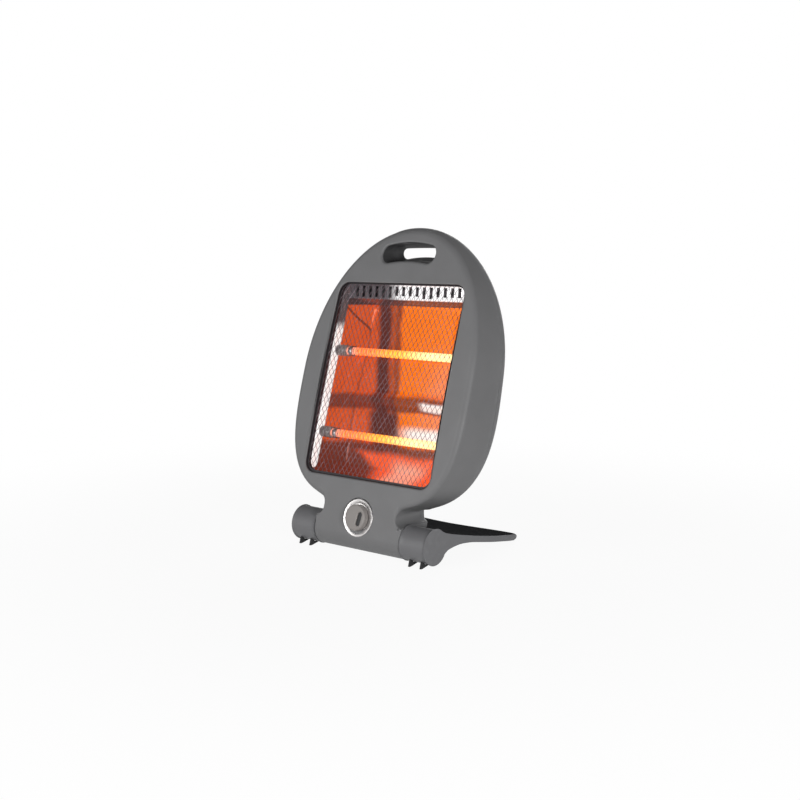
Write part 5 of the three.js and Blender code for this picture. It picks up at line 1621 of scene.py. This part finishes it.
@dataclass
class Foot:
    """The foot: two knuckles whose flat ends run on into a thin plate."""

    grey: bpy.types.Material
    # the dark finish of the sheet that paints the shade on the plate's top
    top_shade: bpy.types.Material
    radius: float = 20.0
    inner: float = 66.4
    outer: float = 102.7
    reach: float = 173.0
    corner: float = 14.0
    hollow: float = 9.0
    cut: float = 50.0
    edge: float = 1.3
    nose: Pair = (330.0, 47.0)  # the knuckle's round front runs between these angles
    shade_sheet_front: float = 15.6
    shade_sheet_edge: float = 2.4
    top: tuple[Pair, ...] = ((12, 14), (34, 7.6), (78, -2.4), (114, -9.2), (150, -14.6), (173, -17.2))
    under: tuple[Pair, ...] = (
        *((14, -9), (30, -5), (48, -3.6), (69, -5.6)),
        *((110, -13.4), (150, -19.6), (173, -21.4)),
    )

    def level(self, line: Sequence[Pair], y: float) -> float:
        """Returns the smoothed height of a side-view line at a place.

        Args:
            line: The line's points, from front to back.
            y: The place behind the hinge.

        Returns:
            The height above the hinge.
        """
        total, shifts = 0.0, (-6, -3, 0, 3, 6)
        for shift in shifts:
            at = min(line[-1][0], max(line[0][0], y + shift))
            for (ay, az), (by, bz) in zip(line, line[1:]):
                if ay <= at <= by:
                    total += az + (bz - az) * (at - ay) / (by - ay)
                    break
        return total / len(shifts)

    def rear(self, x: float) -> float:
        """Returns how far back the plate reaches at a place across."""
        straight = self.outer - self.corner
        if abs(x) > straight:
            off = min(self.corner, abs(x) - straight)
            return self.reach - self.corner + math.sqrt(self.corner**2 - off**2)
        return self.reach - self.hollow * math.cos(math.pi / 2 * x / straight) ** 2

    def profile(self, front: float | None, back: float) -> list[Pair]:
        """Returns the side view from the plate's lower front, round the knuckle, back along the top.

        Args:
            front: The plate's front edge, or None where the knuckle stands before it.
            back: The plate's back edge.

        Returns:
            The closed outline in y and z.
        """
        if front is None:
            nose = arc(0, 0, self.radius, *self.nose, 39)
            first_top, first_under = nose[-1][0], nose[0][0]
        else:
            nose = [(front, z) for z in span(self.level(self.under, front), self.level(self.top, front), 40)]
            first_top = first_under = front
        tail = back - 2.0
        top = [(y, self.level(self.top, y)) for y in span(first_top, tail, 25)[1:]]
        under = [(y, self.level(self.under, y)) for y in span(tail, first_under, 25)[:-1]]
        (ty, tz), (uy, uz) = top[-1], under[0]
        tip = [(ty + 1.3, tz - 0.5), (ty + 1.9, tz - 1.3), (ty + 2.0, (tz + uz) / 2)]
        tip += [(uy + 1.9, uz + 1.2), (uy + 1.2, uz + 0.4)]
        return [*nose, *top, *tip, *under]

    def frame_plate(self) -> Piece:
        """Returns knuckles, arms and plate as one piece, drawn out from end to end."""
        inner, outer, edge = self.inner, self.outer, self.edge
        stations = [(outer - edge * deep, True, edge * inward) for inward, deep in reversed(fillet(5))]
        knuckle = (outer - 2.6, outer - 4.5, outer - 7, outer - 10, outer - 14, 82, 74, inner + 1)
        stations += [(x, True, 0.0) for x in knuckle]
        stations += [(inner + 0.25, True, 0.25), (inner, True, 0.9)]
        stations += [(inner - 0.001, False, 0.9), (inner - 0.3, False, 0.0)]
        stations += [(x, False, 0.0) for x in (62, 58, 50, 40, 30, 20, 10, 0)]
        right = [self.station(*s) for s in stations]
        return settle(drawn("foot_frame", self.mirrored(right), merge=FINE_MERGE), as_is)

    def mirrored(self, right: list[list[Point]]) -> list[list[Point]]:
        """Returns the rings of the right half, down to the middle, with those of the left after them."""
        return right + [[(-x, y, z) for x, y, z in ring] for ring in reversed(right[:-1])]

    def station(self, x: float, knuckle: bool, inset: float) -> list[Point]:
        """Returns one cross-section of the foot, shrunk by inset."""
        front = None
        if not knuckle:
            front = self.cut if abs(x) < self.inner - 8 else self.cut - (abs(x) - self.inner + 8)
        loop = self.profile(front, self.rear(x))
        inside = abs(x) < self.inner + 1
        insets = [0.0 if inside and y > self.cut - 1 else -inset for y, _ in loop]
        return [(x, y, z) for y, z in grown(loop, insets)]

    def shade_sheet(self) -> Piece:
        """Returns the dark sheet over the plate's top, which paints the shade on it."""
        inner, outer = self.inner, self.outer - self.edge - 0.2
        arm = [outer, outer - 0.3, outer - 2, outer - 5, outer - 9, outer - 13, 80, 72, inner + 2.2, inner + 1.9]
        right = [self.shade_sheet_ring(x, self.shade_sheet_front, 0.5 if x in (arm[0], arm[-1]) else 0.0) for x in arm]
        right += [self.shade_sheet_ring(x, self.cut + 1.2, 0.0) for x in (inner + 1.8, 60, 48, 36, 24, 12, 0)]
        return settle(drawn("foot_top_shade_sheet", self.mirrored(right), merge=FINE_MERGE), as_is)

    def shade_sheet_ring(self, x: float, front: float, sink: float) -> list[Point]:
        """Returns one cross-section of the shade sheet."""
        back = self.rear(min(x, self.outer - 0.6)) - self.shade_sheet_edge
        over = []
        for y in (front, front + 0.5, *span(front + 2, back - 1, 26), back - 0.4, back):
            lift = 0.1 if y in (front, back) else 0.45
            over.append((y, self.level(self.top, y) + lift - (0.0 if x < 70 and y > self.cut + 1 else sink)))
        low = [(y, self.level(self.top, y) - 0.7) for y in (back, (front + back) / 2, front)]
        return [(x, y, z) for y, z in [*over, *low]]

    def build(self) -> None:
        """Builds and dresses the foot and the dark sheet that paints the shade on its top."""
        dress(self.frame_plate(), self.grey, Slot.FOOT, Body.BASE, "foot", "knuckle_cap_left", "knuckle_cap_right")
        # painted shade: a dark sheet over the plate's top
        dress(self.shade_sheet(), self.top_shade, Slot.FOOT, Body.BASE)


# ---------------------------------------------------------------- CAD nodes that stay


def dress_nodes(finishes: dict[Slot, bpy.types.Material]) -> None:
    """Gives every CAD node the finish of its slot, by the first word found in its name.

    Args:
        finishes: The material of each slot.
    """
    words = {
        Slot.RUBBER: ("tooth", "pad"),
        Slot.ZINC: ("bolt", "nut", "washer", "screw", "shield", "bracket", "pin", "shaft", "pendulum", "cutout"),
        Slot.LEAD: ("lead",),
        Slot.BLACK: ("gland", "case", "rotary"),
        Slot.SHELL: ("shell_", "_shell"),
        Slot.FOOT: ("foot", "knuckle"),
        Slot.GUARD: ("grille",),
        Slot.REFLECTOR: ("reflector",),
        Slot.QUARTZ: ("quartz",),
        Slot.FILAMENT: ("coil",),
        Slot.CERAMIC: ("terminal", "cap"),
        Slot.DIAL: ("dial",),
        Slot.KNOB: ("knob",),
    }
    for name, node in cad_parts.items():
        slot = next((s for s, parts in words.items() if any(part in name for part in parts)), Slot.BLACK)
        node.data.materials.clear()
        node.data.materials.append(finishes[slot])


# ---------------------------------------------------------------- stage


@dataclass(frozen=True)
class Lamp:
    """A soft round lamp that points at the heater."""

    name: str
    at: Point
    size: float
    power: float


@dataclass
class Stage:
    """Pale floor, plain studio light, and the camera."""

    camera_at: Point = (0.92113, -1.12125, 0.36175)
    looks_at: Point = (0.051401, -0.072955, 0.186742)
    lens: float = 54.39
    soft_light: float = 0.18
    paper: tuple[float, ...] = (0.86, 0.86, 0.86, 1.0)
    heart: Point = (0, 0, 0.18)  # the lamps point here
    lamps: tuple[Lamp, ...] = (
        Lamp("front_left", (-0.9, -2.4, 0.65), 1.2, 34),
        Lamp("right", (2.5, -1.1, 0.35), 0.5, 42),
        Lamp("rear", (-0.9, 2.5, 0.9), 1.6, 24),
    )

    def floor(self) -> None:
        """Lays the floor, seen white and keeping the shadow."""
        clear()
        bpy.ops.mesh.primitive_plane_add(size=12)
        plane = bpy.context.object
        plane.name = "floor"
        web = Web("floor_paper")
        web.shader.inputs["Base Color"].default_value = self.paper
        web.feed(Roughness=web.uneven(3.0, 3.0, 0.75, 0.85))
        light = web.tree.nodes.new("ShaderNodeLightPath")
        seen = web.sum("MAXIMUM", light.outputs["Is Camera Ray"], light.outputs["Is Glossy Ray"])
        seen = web.sum("MAXIMUM", seen, light.outputs["Is Transmission Ray"])
        white = web.tree.nodes.new("ShaderNodeEmission")
        white.inputs["Color"].default_value = WHITE
        mix = web.tree.nodes.new("ShaderNodeMixShader")
        far = web.tree.nodes.new("ShaderNodeVectorMath")
        far.operation = "LENGTH"
        web.wire(web.place, far.inputs[0])
        share = web.step(far.outputs["Value"], 0.25, 0.9, 0.93, 1.0)
        web.wire(web.times(seen, share), mix.inputs[0])
        web.wire(web.shader.outputs[0], mix.inputs[1])
        web.wire(white.outputs[0], mix.inputs[2])
        web.wire(mix.outputs[0], web.output.inputs[0])
        plane.data.materials.append(web.material)

    def world(self) -> None:
        """Sets the surroundings: white where the camera sees them, soft grey light elsewhere."""
        world = bpy.data.worlds.new("studio")
        bpy.context.scene.world = world
        world.use_nodes = True
        nodes, link = world.node_tree.nodes, world.node_tree.links.new
        nodes.clear()
        out = nodes.new("ShaderNodeOutputWorld")
        soft, white = nodes.new("ShaderNodeBackground"), nodes.new("ShaderNodeBackground")
        soft.inputs[0].default_value = white.inputs[0].default_value = WHITE
        soft.inputs[1].default_value = self.soft_light
        mix, light = nodes.new("ShaderNodeMixShader"), nodes.new("ShaderNodeLightPath")
        best = nodes.new("ShaderNodeMath")
        best.operation = "MAXIMUM"
        link(light.outputs["Is Camera Ray"], best.inputs[0])
        link(light.outputs["Is Transmission Ray"], best.inputs[1])
        link(best.outputs[0], mix.inputs[0])
        link(soft.outputs[0], mix.inputs[1])
        link(white.outputs[0], mix.inputs[2])
        link(mix.outputs[0], out.inputs[0])

    def place(self, name: str, data: bpy.types.ID, at: Point, target: Point) -> Piece:
        """Puts a lamp or camera at its place and points it at its target."""
        thing = bpy.data.objects.new(name, data)
        bpy.context.scene.collection.objects.link(thing)
        thing.location = at
        thing.rotation_euler = (Vector(target) - Vector(at)).to_track_quat("-Z", "Y").to_euler()
        return thing

    def hang(self, lamp: Lamp) -> None:
        """Hangs one lamp."""
        data = bpy.data.lights.new(lamp.name, "AREA")
        data.shape = "DISK"
        data.size = lamp.size
        data.energy = lamp.power
        self.place(lamp.name, data, lamp.at, self.heart)

    def camera(self) -> None:
        """Places the camera at the photograph's angle."""
        data = bpy.data.cameras.new("camera")
        data.lens = self.lens
        data.sensor_width = 36
        data.clip_start = 0.01
        bpy.context.scene.camera = self.place("camera", data, self.camera_at, self.looks_at)

    def build(self) -> None:
        """Sets up floor, surroundings, camera and lamps."""
        bpy.context.scene.view_settings.view_transform = "Standard"
        self.floor()
        self.world()
        self.camera()
        for lamp in self.lamps:
            self.hang(lamp)


# ---------------------------------------------------------------- all together


def main() -> None:
    """Builds the heater's looks, piece by piece."""
    logging.basicConfig(level=logging.INFO, format="%(message)s")
    Stage().build()
    shell = Moulded("satin_grey", (109, 109, 110)).make()
    finishes = {
        Slot.SHELL: shell,
        Slot.FOOT: Moulded("foot_satin", (106, 106, 108), 0.52).make(),
        Slot.RUBBER: Moulded("rubber", (24, 24, 26), 0.7, grain=900.0, depth=0.2).make(),
        Slot.ZINC: Metal("zinc", (176, 176, 180), 0.3).make(),
        Slot.GUARD: Metal("guard_wire", (126, 112, 120), 0.4, depth=0.05).make(),
        Slot.REFLECTOR: GlowPaintedSheet().make(),
        Slot.QUARTZ: GlowingTube("lit_quartz").make(),
        Slot.FILAMENT: HotWire("filament", (255, 140, 40), (255, 214, 120), 1.1).make(),
        Slot.CERAMIC: Fired("ceramic", (150, 142, 140), (104, 88, 82)).make(),
        Slot.DIAL: Metal("dial_silver", (206, 203, 202), 0.4, depth=0.08, tarnish=0.05).make(),
        Slot.KNOB: Moulded("knob_satin", (132, 127, 124), 0.42).make(),
        Slot.BLACK: Moulded("black_moulding", (34, 34, 36), 0.55).make(),
        Slot.LEAD: Moulded("lead_sleeve", (58, 40, 34), 0.6).make(),
    }
    dress_nodes(finishes)
    # painted shade inside the handle slot: a darker grey for the slot's liner
    inside = Moulded("handle_slot_painted_shade", (56, 56, 57), 0.6).make()
    FrontShell(shell, inside).build()
    RearShell(shell, inside).build()
    # painted shade on the foot plate's top: a near-black matt finish
    top_shade_finish = Moulded("foot_top_painted_shade", (38, 38, 40), 0.8, 900.0, 0.15, mottle=0.03, specular=0.1, ior=1.08)
    Foot(finishes[Slot.FOOT], top_shade_finish.make()).build()
    Reflector(finishes[Slot.REFLECTOR]).build()
    # the guard's rim gets a dark finish that paints the shade on the window's wall
    Guard(finishes[Slot.GUARD], Moulded("guard_rim_painted_shade", (38, 34, 37), 0.5).make()).build()
    Tubes(finishes[Slot.QUARTZ], finishes[Slot.FILAMENT], finishes[Slot.CERAMIC], finishes[Slot.ZINC]).build()
    Selector(finishes[Slot.DIAL], finishes[Slot.KNOB], finishes[Slot.BLACK]).build()


if __name__ == "__main__":
    main()
